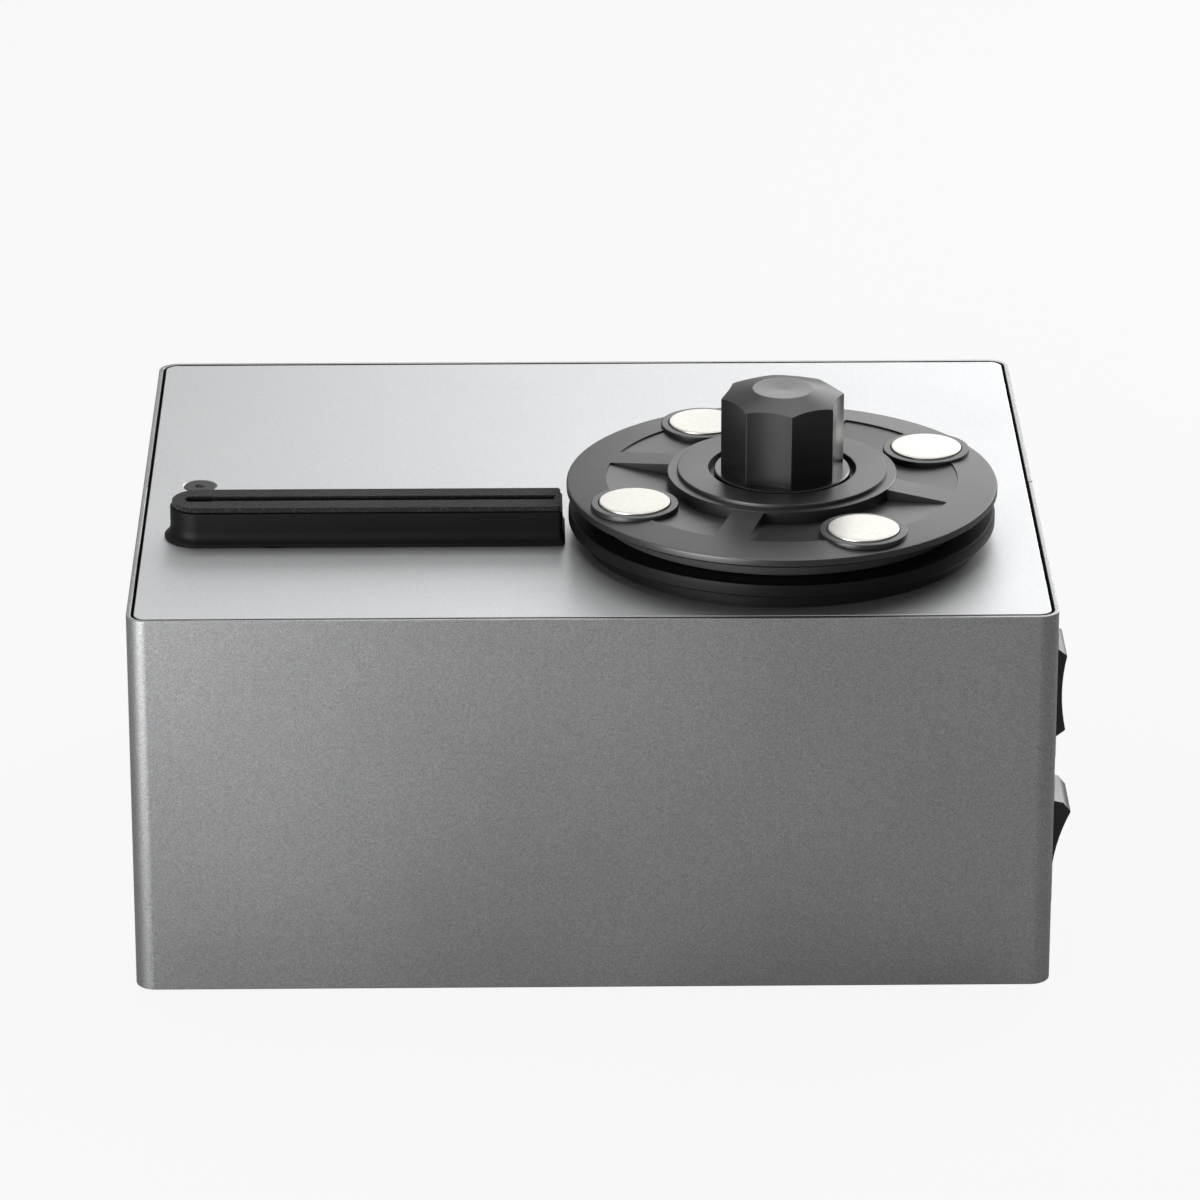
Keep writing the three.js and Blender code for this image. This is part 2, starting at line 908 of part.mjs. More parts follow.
function motorShaft() {
  const bottom = gearboxTop() - motorShaftDepth;
  const top = couplingMiddle() - seatGap;
  return cylinder(motorShaftDiameter / 2, top - bottom, tinySides, 0, 0, bottom);
}

function platterPieces() {
  const inner = recordSealRadius - recordSealWidth;
  const group = new THREE.Group();
  group.position.set(platterX, platterY, deckTop);
  group.add(
    piece('platter_collar', platterCollar(), blackPlastic),
    piece('upper_bearing', bearing(collarHeight - bearingWidth + seatGap), stainlessSteel),
    piece('lower_bearing', bearing(-bearingHubDepth), stainlessSteel),
    piece('motor_mount', motorMount(), zincSteel),
    piece('gear_motor', gearMotor(), zincSteel),
    piece('motor_shaft', motorShaft(), stainlessSteel),
    piece('shaft_coupling', shaftCoupling(), brass),
    piece('spindle', spindle(), stainlessSteel),
    piece('platter', platterDisc(), clampPlastic),
    piece(
      'platter_seal',
      ring(recordSealRadius, inner, platterTop() + seatGap, platterSealHeight - seatGap, fineSides),
      blackRubber
    )
  );
  return group;
}

// Record clamp, with heights from the deck
function clampRimTop() {
  return clampUnderside + clampRimThickness;
}

function clampBody() {
  const under = clampUnderside;
  const rimTop = clampRimTop();
  const recessTop = under + clampRecessDepth;
  const webTop = recessTop + clampWebThickness;
  const hubTop = under + clampHubHeight;
  const stepTop = under + clampStepHeight;
  const centreHole = knobNeckRadius + runGap;
  return turned(
    [
      [centreHole, recessTop],
      [clampRecessRadius, recessTop],
      [clampRecessRadius, under],
      [clampRadius - clampRimBevel, under],
      [clampRadius, under + clampRimBevel],
      [clampRadius, rimTop - clampRimBevel],
      [clampRadius - clampRimBevel, rimTop],
      [clampStepRadius, rimTop + clampSpokeRise],
      [clampStepRadius, stepTop],
      [clampHubRadius, stepTop],
      [clampHubRadius, hubTop - clampHubBevel],
      [clampHubRadius - clampHubBevel, hubTop],
      [clampHoleRadius, hubTop],
      [clampHoleRadius, webTop],
      [centreHole, webTop],
    ],
    fineSides
  );
}

function spokeSurface(radius) {
  const outer = clampRadius - clampRimBevel;
  const slope = clampSpokeRise / (outer - clampStepRadius);
  return clampRimTop() + slope * (outer - radius);
}

function clampPockets() {
  const over = clampUnderside + clampHubHeight;
  const pocketRing = turned(
    [
      [clampStepRadius, clampUnderside + clampPocketFloor],
      [clampPocketRadius, spokeSurface(clampPocketRadius)],
      [clampPocketRadius, over],
      [clampStepRadius, over],
    ],
    fineSides
  );
  const spokes = [];
  for (let i = 0; i < clampSpokeCount / 2; i += 1) {
    const turn = rad(clampSpokeAngle + (i * 360) / clampSpokeCount);
    const bar = block(
      2 * clampRadius,
      clampSpokeWidth,
      clampHubHeight + 2 * cutOverrun,
      0,
      0,
      clampUnderside - cutOverrun
    );
    spokes.push(bar.rotateZ(turn));
  }
  return cut(pocketRing, ...spokes);
}

function magnetPlaces() {
  const places = [];
  for (let i = 0; i < clampSpokeCount; i += 1) {
    const turn = rad(magnetFirstAngle + (i * 360) / clampSpokeCount);
    places.push([magnetCircleRadius * Math.cos(turn), magnetCircleRadius * Math.sin(turn)]);
  }
  return places;
}

function clampPlate() {
  const seatBottom = clampUnderside + magnetTop - magnetThickness - seatGap;
  const bossBottom = clampUnderside + clampRimBevel;
  const bosses = magnetPlaces().map(([x, y]) =>
    cylinder(magnetBossRadius, magnetBossHeight - clampRimBevel, smallSides, x, y, bossBottom)
  );
  const seats = magnetPlaces().map(([x, y]) =>
    cylinder(magnetDiameter / 2 + seatGap, magnetThickness + cutOverrun, smallSides, x, y, seatBottom)
  );
  return cut(join(cut(clampBody(), clampPockets()), ...bosses), ...seats);
}

function magnet() {
  return turned(
    [
      [0, 0],
      [magnetDiameter / 2, 0],
      [magnetDiameter / 2, magnetThickness - magnetBevel],
      [magnetDiameter / 2 - magnetBevel, magnetThickness],
      [0, magnetThickness],
    ],
    smallSides
  );
}

function flutedOutline() {
  const shape = new THREE.Shape();
  const halfPitch = Math.PI / knobFluteCount;
  const chordMiddle = knobRidgeRadius * Math.cos(halfPitch);
  const handle = 2 * knobFluteRadius - chordMiddle;
  const start = rad(knobFirstRidgeAngle);
  for (let i = 0; i < knobFluteCount; i += 1) {
    const ridge = start + 2 * halfPitch * i;
    const next = ridge + 2 * halfPitch;
    const middle = ridge + halfPitch;
    if (i === 0) shape.moveTo(knobRidgeRadius * Math.cos(ridge), knobRidgeRadius * Math.sin(ridge));
    shape.quadraticCurveTo(
      handle * Math.cos(middle),
      handle * Math.sin(middle),
      knobRidgeRadius * Math.cos(next),
      knobRidgeRadius * Math.sin(next)
    );
  }
  return shape;
}

function knobSkirtBottom() {
  return clampUnderside + clampRecessDepth + clampWebThickness + runGap;
}

function knobNeckBottom() {
  return knobSkirtBottom() - knobNeckLength;
}

function clipTop() {
  return clampUnderside + clampRecessDepth - runGap;
}

function insertTop() {
  return knobSkirtBottom() + knobSkirtHeight + insertLength;
}

function knobGrip() {
  const bottom = knobSkirtBottom() + knobSkirtHeight / 2;
  const fluted = new THREE.ExtrudeGeometry(flutedOutline(), {
    depth: knobTopHeight - bottom + cutOverrun,
    bevelEnabled: false,
    curveSegments: knobFluteStepCount,
  }).translate(0, 0, bottom);
  const crown = turned(
    [
      [0, bottom - cutOverrun],
      [knobRidgeRadius + cutOverrun, bottom - cutOverrun],
      [knobRidgeRadius + cutOverrun, knobShoulderHeight - knobShoulderFall()],
      [knobTopRadius, knobTopHeight],
      [0, knobTopHeight - knobTopDish],
    ],
    middleSides
  );
  return common(fluted, crown);
}

function knobShoulderFall() {
  const slope = (knobTopHeight - knobShoulderHeight) / (knobRidgeRadius - knobTopRadius);
  return slope * cutOverrun;
}

function clampKnob() {
  const bottom = knobSkirtBottom();
  const groove = knobNeckRadius - knobGrooveDepth;
  const grooveBottom = clipTop() - clipThickness - seatGap;
  const grooveTop = clipTop() + seatGap;
  const base = turned(
    [
      [0, knobNeckBottom()],
      [knobNeckRadius, knobNeckBottom()],
      [knobNeckRadius, grooveBottom],
      [groove, grooveBottom],
      [groove, grooveTop],
      [knobNeckRadius, grooveTop],
      [knobNeckRadius, bottom],
      [knobSkirtRadius, bottom],
      [knobSkirtRadius, bottom + knobSkirtHeight],
      [0, bottom + knobSkirtHeight],
    ],
    middleSides
  );
  const boreTop = Math.max(insertTop() + seatGap, spindleTop + runGap);
  const bore = cylinder(
    knobBoreRadius,
    boreTop - knobNeckBottom() + cutOverrun,
    smallSides,
    0,
    0,
    knobNeckBottom() - cutOverrun
  );
  return cut(join(knobGrip(), base), bore);
}

function knobInsert() {
  const outer = knobBoreRadius - seatGap;
  const inner = spindleTipDiameter / 2 + runGap;
  return ring(outer, inner, insertTop() - insertLength, insertLength, smallSides);
}

function knobClip() {
  const inner = knobNeckRadius - knobGrooveDepth + seatGap;
  return ring(clipRadius, inner, clipTop() - clipThickness, clipThickness, smallSides);
}

function clampPieces() {
  const inner = recordSealRadius - recordSealWidth;
  const sealBottom = clampUnderside - seatGap - clampSealHeight;
  const group = new THREE.Group();
  group.position.set(platterX, platterY, deckTop);
  group.add(
    piece('clamp_plate', clampPlate(), clampPlastic),
    piece('clamp_seal', ring(recordSealRadius, inner, sealBottom, clampSealHeight, fineSides), blackRubber),
    piece('clamp_knob', clampKnob(), blackPlastic),
    piece('knob_insert', knobInsert(), brass),
    piece('knob_clip', knobClip(), stainlessSteel)
  );
  magnetPlaces().forEach(([x, y], index) => {
    const bottom = clampUnderside + magnetTop - magnetThickness;
    group.add(piece(`clamp_magnet_${index + 1}`, magnet(), nickel, x, y, bottom));
  });
  return group;
}

// Suction arm, with its length along -X from the platter's axis and heights from the deck
function armOutline(width, outerEnd, innerEnd, corner) {
  const half = width / 2;
  const shape = new THREE.Shape();
  shape.moveTo(-innerEnd - corner, -half);
  shape.absarc(-innerEnd - corner, -half + corner, corner, -Math.PI / 2, 0, false);
  shape.absarc(-innerEnd - corner, half - corner, corner, 0, Math.PI / 2, false);
  shape.absarc(-outerEnd + half, 0, half, Math.PI / 2, 1.5 * Math.PI, false);
  return shape;
}

function armFoot() {
  const flared = new THREE.ExtrudeGeometry(armOutline(armWidth, armOuterEnd, armInnerEnd, armInnerCorner), {
    depth: armFootRim,
    bevelEnabled: true,
    bevelThickness: armFootHeight - armFootRim,
    bevelSize: armFootFlare,
    bevelSegments: 1,
    curveSegments: 2 * cornerStepCount,
  });
  const length = armOuterEnd - clampRadius;
  const kept = block(
    length + cutOverrun,
    armWidth + 2 * cutOverrun,
    armFootHeight - seatGap,
    -clampRadius - runGap - (length + cutOverrun) / 2,
    0,
    seatGap
  );
  return common(flared, kept);
}

function suctionArm() {
  const bar = new THREE.ExtrudeGeometry(armOutline(armWidth, armOuterEnd, armInnerEnd, armInnerCorner), {
    depth: armBarHeight - seatGap,
    bevelEnabled: false,
    curveSegments: 2 * cornerStepCount,
  }).translate(0, 0, seatGap);
  const stubHeight = armStubLength + armFloor;
  const stub = cylinder(armStubRadius, stubHeight, smallSides, -armStubDistance, 0, -armStubLength);
  const channelLength = armSlotOuter - armSlotInner;
  const channelMiddle = -(armSlotOuter + armSlotInner) / 2;
  const channel = block(channelLength, armChannelWidth, armChannelHeight, channelMiddle, 0, armFloor);
  const slot = block(channelLength, armSlotWidth, armBarHeight, channelMiddle, 0, armFloor + seatGap);
  const recess = block(
    armSlotRecessLength,
    armSlotRecessWidth,
    armBarHeight,
    -armSlotOuter + armSlotRecessLength / 2,
    0,
    armFloor + seatGap
  );
  const bore = cylinder(
    armStubBore,
    stubHeight + 2 * cutOverrun,
    tinySides,
    -armStubDistance,
    0,
    -armStubLength - cutOverrun
  );
  const grooveDepth = armStubRadius - armSealDepth;
  const groove = ring(
    armStubRadius + cutOverrun,
    grooveDepth,
    -armSealDrop - armSealHeight / 2 - seatGap,
    armSealHeight + 2 * seatGap,
    smallSides
  ).translate(-armStubDistance, 0, 0);
  return cut(join(bar, armFoot(), stub), channel, slot, recess, bore, groove);
}

function velvetStrip(side) {
  const outline = armOutline(
    armWidth - 2 * velvetInset,
    armOuterEnd - velvetInset,
    armInnerEnd + velvetInset,
    armInnerCorner / 2
  );
  const pad = extruded(outline, velvetThickness, armBarHeight + seatGap);
  const half = block(
    armOuterEnd,
    armWidth / 2,
    armBarHeight + 2 * cutOverrun,
    -armOuterEnd / 2 - armInnerEnd / 2,
    side * (armWidth / 4 + runGap / 2),
    0
  );
  const slot = block(
    armOuterEnd,
    armSlotWidth + 2 * seatGap,
    armBarHeight + 2 * cutOverrun,
    armOuterEnd / 2 - armSlotOuter,
    0,
    0
  );
  return cut(common(pad, half), slot);
}

function armPieces() {
  const group = new THREE.Group();
  group.position.set(platterX, platterY, deckTop);
  const sealInner = armStubRadius - armSealDepth + seatGap;
  const seal = ring(
    armStubRadius + seatGap,
    sealInner,
    -armSealDrop - armSealHeight / 2,
    armSealHeight,
    smallSides,
    seatGap
  ).translate(-armStubDistance, 0, 0);
  group.add(
    piece('suction_arm', suctionArm(), blackPlastic),
    piece('velvet_strip_front', velvetStrip(-1), blackVelvet),
    piece('velvet_strip_rear', velvetStrip(1), blackVelvet),
    piece('arm_seal', seal, blackRubber)
  );
  return group;
}

function portX() {
  return platterX - armStubDistance;
}

function armPortRadius() {
  return armStubRadius + runGap + armPortWall;
}

function armPort() {
  const inner = armStubRadius + runGap;
  const outer = armPortRadius();
  const flangeTop = -deckThickness - seatGap;
  const geometry = turned(
    [
      [inner, -armPortLength],
      [outer, -armPortLength],
      [outer, flangeTop - armPortFlangeThickness],
      [outer + armPortFlange, flangeTop - armPortFlangeThickness],
      [outer + armPortFlange, flangeTop],
      [outer, flangeTop],
      [outer, 0],
      [inner, 0],
    ],
    smallSides
  );
  return piece('arm_port', geometry, blackPlastic, portX(), platterY, deckTop);
}

// Tank for the used liquid
function tankTop() {
  return floorLevel + tankHeight;
}

function wasteTank() {
  const shape = roundedRectangle(tankWidth, tankDepth, 2 * tankWall);
  const inside = roundedRectangle(tankWidth - 2 * tankWall, tankDepth - 2 * tankWall, tankWall);
  const body = extruded(shape, tankHeight);
  const hollow = extruded(inside, tankHeight + cutOverrun, tankWall);
  const drainHole = alongY(cylinder(drainFittingRadius + seatGap, tankWall + 2 * cutOverrun, tinySides));
  const wallInside = tankDepth / 2 - tankWall;
  drainHole.translate(drainX - tankMiddleX(), wallInside - cutOverrun, drainHeight - floorLevel);
  const geometry = cut(body, hollow, drainHole);
  return piece('waste_tank', geometry, clearTankPlastic, tankMiddleX(), tankMiddleY(), floorLevel);
}

function tankMiddleX() {
  return tankLeft + tankWidth / 2;
}

function tankMiddleY() {
  return tankFront + tankDepth / 2;
}

function hoseNeck(length) {
  return alongX(cylinder(neckRadius, length, tinySides));
}

function neckHole(length) {
  return alongX(cylinder(neckBore, length, tinySides));
}

function tankLid() {
  const bottom = tankTop() + seatGap;
  const top = bottom + tankLidThickness;
  const plate = extruded(roundedRectangle(tankWidth, tankDepth, 2 * tankWall), tankLidThickness).translate(
    tankMiddleX(),
    tankMiddleY(),
    bottom
  );
  const turret = cylinder(turretRadius, turretTop - bottom, smallSides, turretX, hoseY, bottom);
  const neck = hoseNeck(turretRadius + neckLength).translate(turretX, hoseY, hoseAxisHeight);
  const turretHole = cylinder(
    turretBore,
    turretTop - tankWall - bottom + cutOverrun,
    smallSides,
    turretX,
    hoseY,
    bottom - cutOverrun
  );
  const passage = neckHole(turretRadius + neckLength + cutOverrun).translate(turretX, hoseY, hoseAxisHeight);
  const portHole = cylinder(
    armPortRadius() + seatGap,
    top - bottom + 2 * cutOverrun,
    smallSides,
    portX(),
    platterY,
    bottom - cutOverrun
  );
  return piece('tank_lid', cut(join(plate, turret, neck), turretHole, passage, portHole), clearTankPlastic);
}

function suctionHose() {
  const start = turretX + turretRadius + seatGap;
  const end = fanX - fanTurretRadius - seatGap;
  const inner = neckRadius + seatGap;
  const hose = alongX(ring(inner + hoseWall, inner, 0, end - start, tinySides));
  return piece('suction_hose', hose, blackRubber, start, hoseY, hoseAxisHeight);
}

function drainFitting() {
  const inner = housingDepth / 2 - tankInnerRear();
  const bore = drainPlugRadius + runGap;
  const recess = drainHeadRadius + runGap;
  const recessDepth = drainHeadThickness + runGap;
  const geometry = alongY(
    turned(
      [
        [bore, -inner],
        [drainFittingRadius, -inner],
        [drainFittingRadius, 0],
        [recess, 0],
        [recess, -recessDepth],
        [bore, -recessDepth],
      ],
      tinySides
    )
  );
  return piece('drain_fitting', geometry, blackPlastic, drainX, housingDepth / 2, drainHeight);
}

function tankInnerRear() {
  return tankFront + tankDepth - tankWall;
}

function drainPlug() {
  const plug = turned(
    [
      [0, -drainPlugLength - drainHeadThickness],
      [drainPlugRadius, -drainPlugLength - drainHeadThickness],
      [drainPlugRadius, -drainHeadThickness],
      [drainHeadRadius, -drainHeadThickness],
      [drainHeadRadius, 0],
      [0, 0],
    ],
    tinySides
  );
  const coinSlot = block(
    2 * drainHeadRadius + 2 * cutOverrun,
    drainCoinSlotWidth,
    drainCoinSlotDepth + cutOverrun,
    0,
    0,
    -drainCoinSlotDepth
  );
  return piece(
    'drain_plug',
    alongY(cut(plug, coinSlot)),
    blackPlastic,
    drainX,
    housingDepth / 2,
    drainHeight
  );
}

// Suction fan
function fanMotorBottom() {
  return floorLevel + fanMountHeight + seatGap;
}

function fanHousingBottom() {
  return fanMotorBottom() + fanMotorHeight + seatGap;
}

function fanCoverBottom() {
  return fanHousingBottom() + fanHousingHeight + seatGap;
}

function fanOutletMiddle() {
  return fanHousingBottom() + fanHousingHeight / 2;
}

function fanMotor() {
  const body = cylinder(fanMotorRadius, fanMotorHeight, smallSides);
  const shaftHole = cylinder(
    fanShaftRadius + runGap,
    fanShaftDepth + runGap + cutOverrun,
    smallSides,
    0,
    0,
    fanMotorHeight - fanShaftDepth - runGap
  );
  return piece('fan_motor', cut(body, shaftHole), zincSteel, fanX, hoseY, fanMotorBottom());
}

function fanMountRing() {
  const geometry = ring(fanMotorRadius, fanMotorRadius - fanMountWidth, 0, fanMountHeight, smallSides);
  return piece('fan_mount_ring', geometry, blackRubber, fanX, hoseY, floorLevel);
}

function fanHousing() {
  const cup = cylinder(fanHousingRadius, fanHousingHeight, fineSides);
  const ductLength = innerHalfDepth - seatGap - hoseY;
  const ductBottom = (fanHousingHeight - fanOutletHeight) / 2 - fanWall;
  const duct = block(
    fanOutletWidth + 2 * fanWall,
    ductLength,
    fanOutletHeight + 2 * fanWall,
    0,
    ductLength / 2,
    ductBottom
  );
  const hollow = cylinder(fanHousingRadius - fanWall, fanHousingHeight, fineSides, 0, 0, fanWall);
  const passage = block(
    fanOutletWidth,
    ductLength + cutOverrun,
    fanOutletHeight,
    0,
    (ductLength + cutOverrun) / 2,
    ductBottom + fanWall
  );
  const holeRadius = fanShaftRadius + runGap;
  const shaftHole = cylinder(holeRadius, fanWall + 2 * cutOverrun, smallSides, 0, 0, -cutOverrun);
  const geometry = cut(join(cup, duct), hollow, passage, shaftHole);
  return piece('fan_housing', geometry, blackPlastic, fanX, hoseY, fanHousingBottom());
}

function fanCover() {
  const bottom = fanCoverBottom();
  const plate = cylinder(fanHousingRadius, fanCoverThickness, fineSides, fanX, hoseY, bottom);
  const turret = cylinder(fanTurretRadius, turretTop - bottom, middleSides, fanX, hoseY, bottom);
  const neck = hoseNeck(fanTurretRadius + neckLength);
  neck.translate(fanX - fanTurretRadius - neckLength, hoseY, hoseAxisHeight);
  const eye = cylinder(
    fanTurretRadius - fanTurretWall,
    turretTop - fanTurretWall - bottom + cutOverrun,
    middleSides,
    fanX,
    hoseY,
    bottom - cutOverrun
  );
  const passage = neckHole(fanTurretRadius + neckLength + cutOverrun);
  passage.translate(fanX - fanTurretRadius - neckLength - cutOverrun, hoseY, hoseAxisHeight);
  return piece('fan_cover', cut(join(plate, turret, neck), eye, passage), blackPlastic);
}

function impeller() {
  const plateBottom = fanWall + 2 * runGap;
  const plate = cylinder(impellerRadius, impellerPlate, middleSides, 0, 0, plateBottom);
  const hub = cylinder(impellerHubRadius, impellerHeight, smallSides, 0, 0, plateBottom);
  const shaftBottom = -seatGap - fanShaftDepth;
  const shaftLength = plateBottom + impellerPlate - shaftBottom;
  const shaft = cylinder(fanShaftRadius, shaftLength, smallSides, 0, 0, shaftBottom);
  const bladeLength = impellerRadius - impellerBladeInner;
  const blades = [];
  for (let i = 0; i < impellerBladeCount; i += 1) {
    const blade = block(
      bladeLength,
      impellerBladeThickness,
      impellerHeight,
      bladeLength / 2,
      0,
      plateBottom
    );
    blade.rotateZ(rad(impellerBladeLeanAngle)).translate(impellerBladeInner, 0, 0);
    blades.push(blade.rotateZ((2 * Math.PI * i) / impellerBladeCount));
  }
  return piece('impeller', join(plate, hub, shaft, ...blades), whitePlastic, fanX, hoseY, fanHousingBottom());
}

// Rocker switches
function switchBody() {
  const bezelShape = roundedRectangle(switchBezelHeight, switchBezelWidth, switchBezelCorner);
  const bezel = alongX(extruded(bezelShape, switchBezelProud - seatGap)).translate(seatGap, 0, 0);
  const bodyDepth = switchBodyDepth + switchBezelProud / 2;
  const body = block(
    bodyDepth,
    switchBodyWidth,
    switchBodyHeight,
    bodyDepth / 2 - switchBodyDepth,
    0,
    -switchBodyHeight / 2
  );
  const cavityDepth = rockerPivotDepth + rockerHubRadius + runGap;
  const halfHeight = rockerSweep() + runGap;
  const cavity = block(
    cavityDepth + switchBezelProud + cutOverrun,
    rockerWidth + 2 * runGap,
    2 * halfHeight,
    (switchBezelProud + cutOverrun - cavityDepth) / 2,
    0,
    -halfHeight
  );
  return cut(join(bezel, body), cavity);
}

function rockerRoot() {
  return rockerTipSpacing / 2 + rockerEndFlare;
}

function rockerSweep() {
  const shoulder = rockerPivotDepth + switchBezelProud;
  return rockerRoot() * Math.cos(rockerSwing) + shoulder * Math.sin(rockerSwing);
}

function rocker() {
  const tip = rockerTipSpacing / 2;
  const root = rockerRoot();
  const shoulder = rockerPivotDepth + switchBezelProud;
  const shape = new THREE.Shape();
  shape.moveTo(0, -rockerHubRadius);
  shape.lineTo(rockerPivotDepth - rockerHubRadius, -root);
  shape.lineTo(shoulder, -root);
  for (let i = 0; i <= rockerFaceStepCount; i += 1) {
    const share = (2 * i) / rockerFaceStepCount - 1;
    shape.lineTo(rockerFace - rockerHollow * (1 - share * share), share * tip);
  }
  shape.lineTo(shoulder, root);
  shape.lineTo(rockerPivotDepth - rockerHubRadius, root);
  shape.lineTo(0, rockerHubRadius);
  shape.absarc(0, 0, rockerHubRadius, Math.PI / 2, 1.5 * Math.PI, false);
  return extruded(shape, rockerWidth, -rockerWidth / 2).rotateX(Math.PI / 2);
}

function rockerSwitch(name, rockerName, height, tilt) {
  const group = new THREE.Group();
  group.position.set(housingWidth / 2, switchY, height);
  const lever = piece(rockerName, rocker(), blackPlastic, -rockerPivotDepth, 0, 0);
  lever.rotation.y = tilt;
  group.add(piece(name, switchBody(), blackPlastic), lever);
  return group;
}

// Mains inlet
function powerInlet() {
  const body = block(inletWidth, inletDepth, inletBodyHeight, 0, -inletDepth / 2, -inletBodyHeight / 2);
  const flangeFront = -housingWall - seatGap;
  const flange = block(
    inletWidth + 2 * inletFlange,
    inletFlangeThickness,
    inletBodyHeight + 2 * inletFlange,
    0,
    flangeFront - inletFlangeThickness / 2,
    -inletBodyHeight / 2 - inletFlange
  );
  const socketShape = roundedRectangle(socketWidth, socketHeight, socketCorner);
  const socket = extruded(socketShape, socketDepth + cutOverrun)
    .rotateX(-Math.PI / 2)
    .translate(0, -socketDepth, socketRise);
  const drawerSlot = block(
    drawerWidth + 2 * runGap,
    drawerLength + runGap + cutOverrun,
    drawerHeight + 2 * runGap,
    0,
    (cutOverrun - drawerLength - runGap) / 2,
    -drawerDrop - drawerHeight / 2 - runGap
  );
  const pinRoot = -socketDepth - pinWidth;
  const pins = [
    [-pinSpacing / 2, -earthPinRise],
    [pinSpacing / 2, -earthPinRise],
    [0, earthPinRise],
  ].map(([x, rise]) => {
    const depth = pinWidth + pinLength;
    return block(pinWidth, depth, pinHeight, x, pinRoot + depth / 2, socketRise + rise - pinHeight / 2);
  });
  const geometry = join(cut(join(body, flange), socket, drawerSlot), ...pins);
  return piece('power_inlet', geometry, blackPlastic, inletX, housingDepth / 2, inletHeight);
}

function fuseDrawer() {
  const tray = block(drawerWidth, drawerLength, drawerHeight, 0, -drawerLength / 2, -drawerHeight / 2);
  const fingerCut = block(
    drawerLipWidth,
    2 * drawerLipHeight,
    drawerLipHeight,
    0,
    0,
    drawerHeight / 2 - drawerLipHeight
  );
  return piece(
    'fuse_drawer',
    cut(tray, fingerCut),
    blackPlastic,
    inletX,
    housingDepth / 2,
    inletHeight - drawerDrop
  );
}

// Power board and leads
function boardTop() {
  return floorLevel + boardPostHeight + boardThickness;
}

function powerBoard() {
  const plate = block(boardWidth, boardDepth, boardThickness, 0, 0, boardPostHeight);
  const parts = [plate];
  for (const sideX of [-1, 1]) {
    for (const sideY of [-1, 1]) {
      const x = sideX * (boardWidth / 2 - boardPostInset);
      const y = sideY * (boardDepth / 2 - boardPostInset);
      parts.push(cylinder(boardPostRadius, boardPostHeight + boardThickness / 2, tinySides, x, y, 0));
    }
  }
  const onBoard = boardPostHeight + boardThickness / 2;
  parts.push(
    block(
      transformerWidth,
      transformerDepth,
      transformerHeight + boardThickness / 2,
      0,
      transformerY() - boardY,
      onBoard
    )
  );
  for (const side of [-1, 1]) {
    const y = -boardDepth / 2 + boardPostInset + capacitorRadius;
    const x = (side * capacitorSpacing) / 2;
    parts.push(cylinder(capacitorRadius, capacitorHeight + boardThickness / 2, tinySides, x, y, onBoard));
  }
  return piece('power_board', join(...parts), boardGreen, boardX, boardY, floorLevel);
}

function transformerY() {
  return boardY + boardDepth / 2 - boardPostInset - transformerDepth / 2;
}

function inletLead() {
  const start = housingDepth / 2 - inletDepth - seatGap;
  const end = transformerY() + transformerDepth / 2 + seatGap;
  const height = inletHeight - inletBodyHeight / 4;
  const route = [
    [inletX, start, height],
    [inletX, start - leadBend / 2, height],
    [inletX, start - 2 * leadBend, (height + leadRunHeight) / 2],
    [boardX, start - 4 * leadBend, leadRunHeight],
    [boardX, end + leadBend, leadRunHeight],
    [boardX, end, leadRunHeight],
  ];
  return piece('inlet_lead', tube(route, leadRadius), leadBlack);
}

function switchLoom() {
  const back = housingWidth / 2 - switchBodyDepth - seatGap;
  const trunkX = back - loomStandoff;
  const lower = wallBottom + vacuumSwitchHeight;
  const upper = wallBottom + directionSwitchHeight;
  const trunk = tube(
    [
      [trunkX, switchY, boardTop() + seatGap],
      [trunkX, switchY, lower],
      [trunkX, switchY, upper - leadBend],
      [trunkX + loomStandoff / 3, switchY, upper - leadBend / 4],
      [back - leadRadius, switchY, upper],
      [back, switchY, upper],
    ],
    leadRadius
  );
  const branch = alongX(cylinder(leadRadius, loomStandoff, leadSides)).translate(trunkX, switchY, lower);
  return piece('switch_loom', join(trunk, branch), leadBlack);
}

function motorLoom() {
  const start = boardX - transformerWidth / 2 - seatGap;
  const motorSide = platterX + platterMotorRadius + seatGap;
  const fanSide = fanX + fanMotorRadius + seatGap;
  const middle = (start + motorSide) / 2;
  const straight = alongX(cylinder(leadRadius, start - motorSide, leadSides));
  straight.translate(motorSide, platterY, leadRunHeight);
  const route = [
    [middle, platterY, leadRunHeight],
    [middle, platterY + leadBend, leadRunHeight],
    [middle, hoseY - leadBend, leadRunHeight],
    [middle - leadRadius, hoseY - leadRadius, leadRunHeight],
    [fanSide + leadRadius, hoseY, leadRunHeight],
    [fanSide, hoseY, leadRunHeight],
  ];
  return piece('motor_loom', join(tube(route, leadRadius), straight), leadBlack);
}

const group = new THREE.Group();
group.position.x = -rightReach / 2;
group.add(
  frontShell(),
  rearShell(),
  topPlate(),
  basePlate(),
  jointBracket('left_joint_bracket', -1),
  jointBracket('right_joint_bracket', 1),
  deckRail('front_rail', -1),
  deckRail('rear_rail', 1),
  ...housingScrews(),
  ...feet(),
  platterPieces(),
  clampPieces(),
  armPieces(),
  armPort(),
  wasteTank(),
  tankLid(),
  suctionHose(),
  drainFitting(),
  drainPlug(),
  fanMotor(),
  fanMountRing(),
  fanHousing(),
  fanCover(),
  impeller(),
  rockerSwitch('direction_switch_body', 'direction_rocker', wallBottom + directionSwitchHeight, 0),
  rockerSwitch('vacuum_switch_body', 'vacuum_rocker', wallBottom + vacuumSwitchHeight, rockerSwing),
  powerInlet(),
  fuseDrawer(),
  powerBoard(),
  inletLead(),
  switchLoom(),
  motorLoom()
);

export default group;
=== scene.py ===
import json
import math

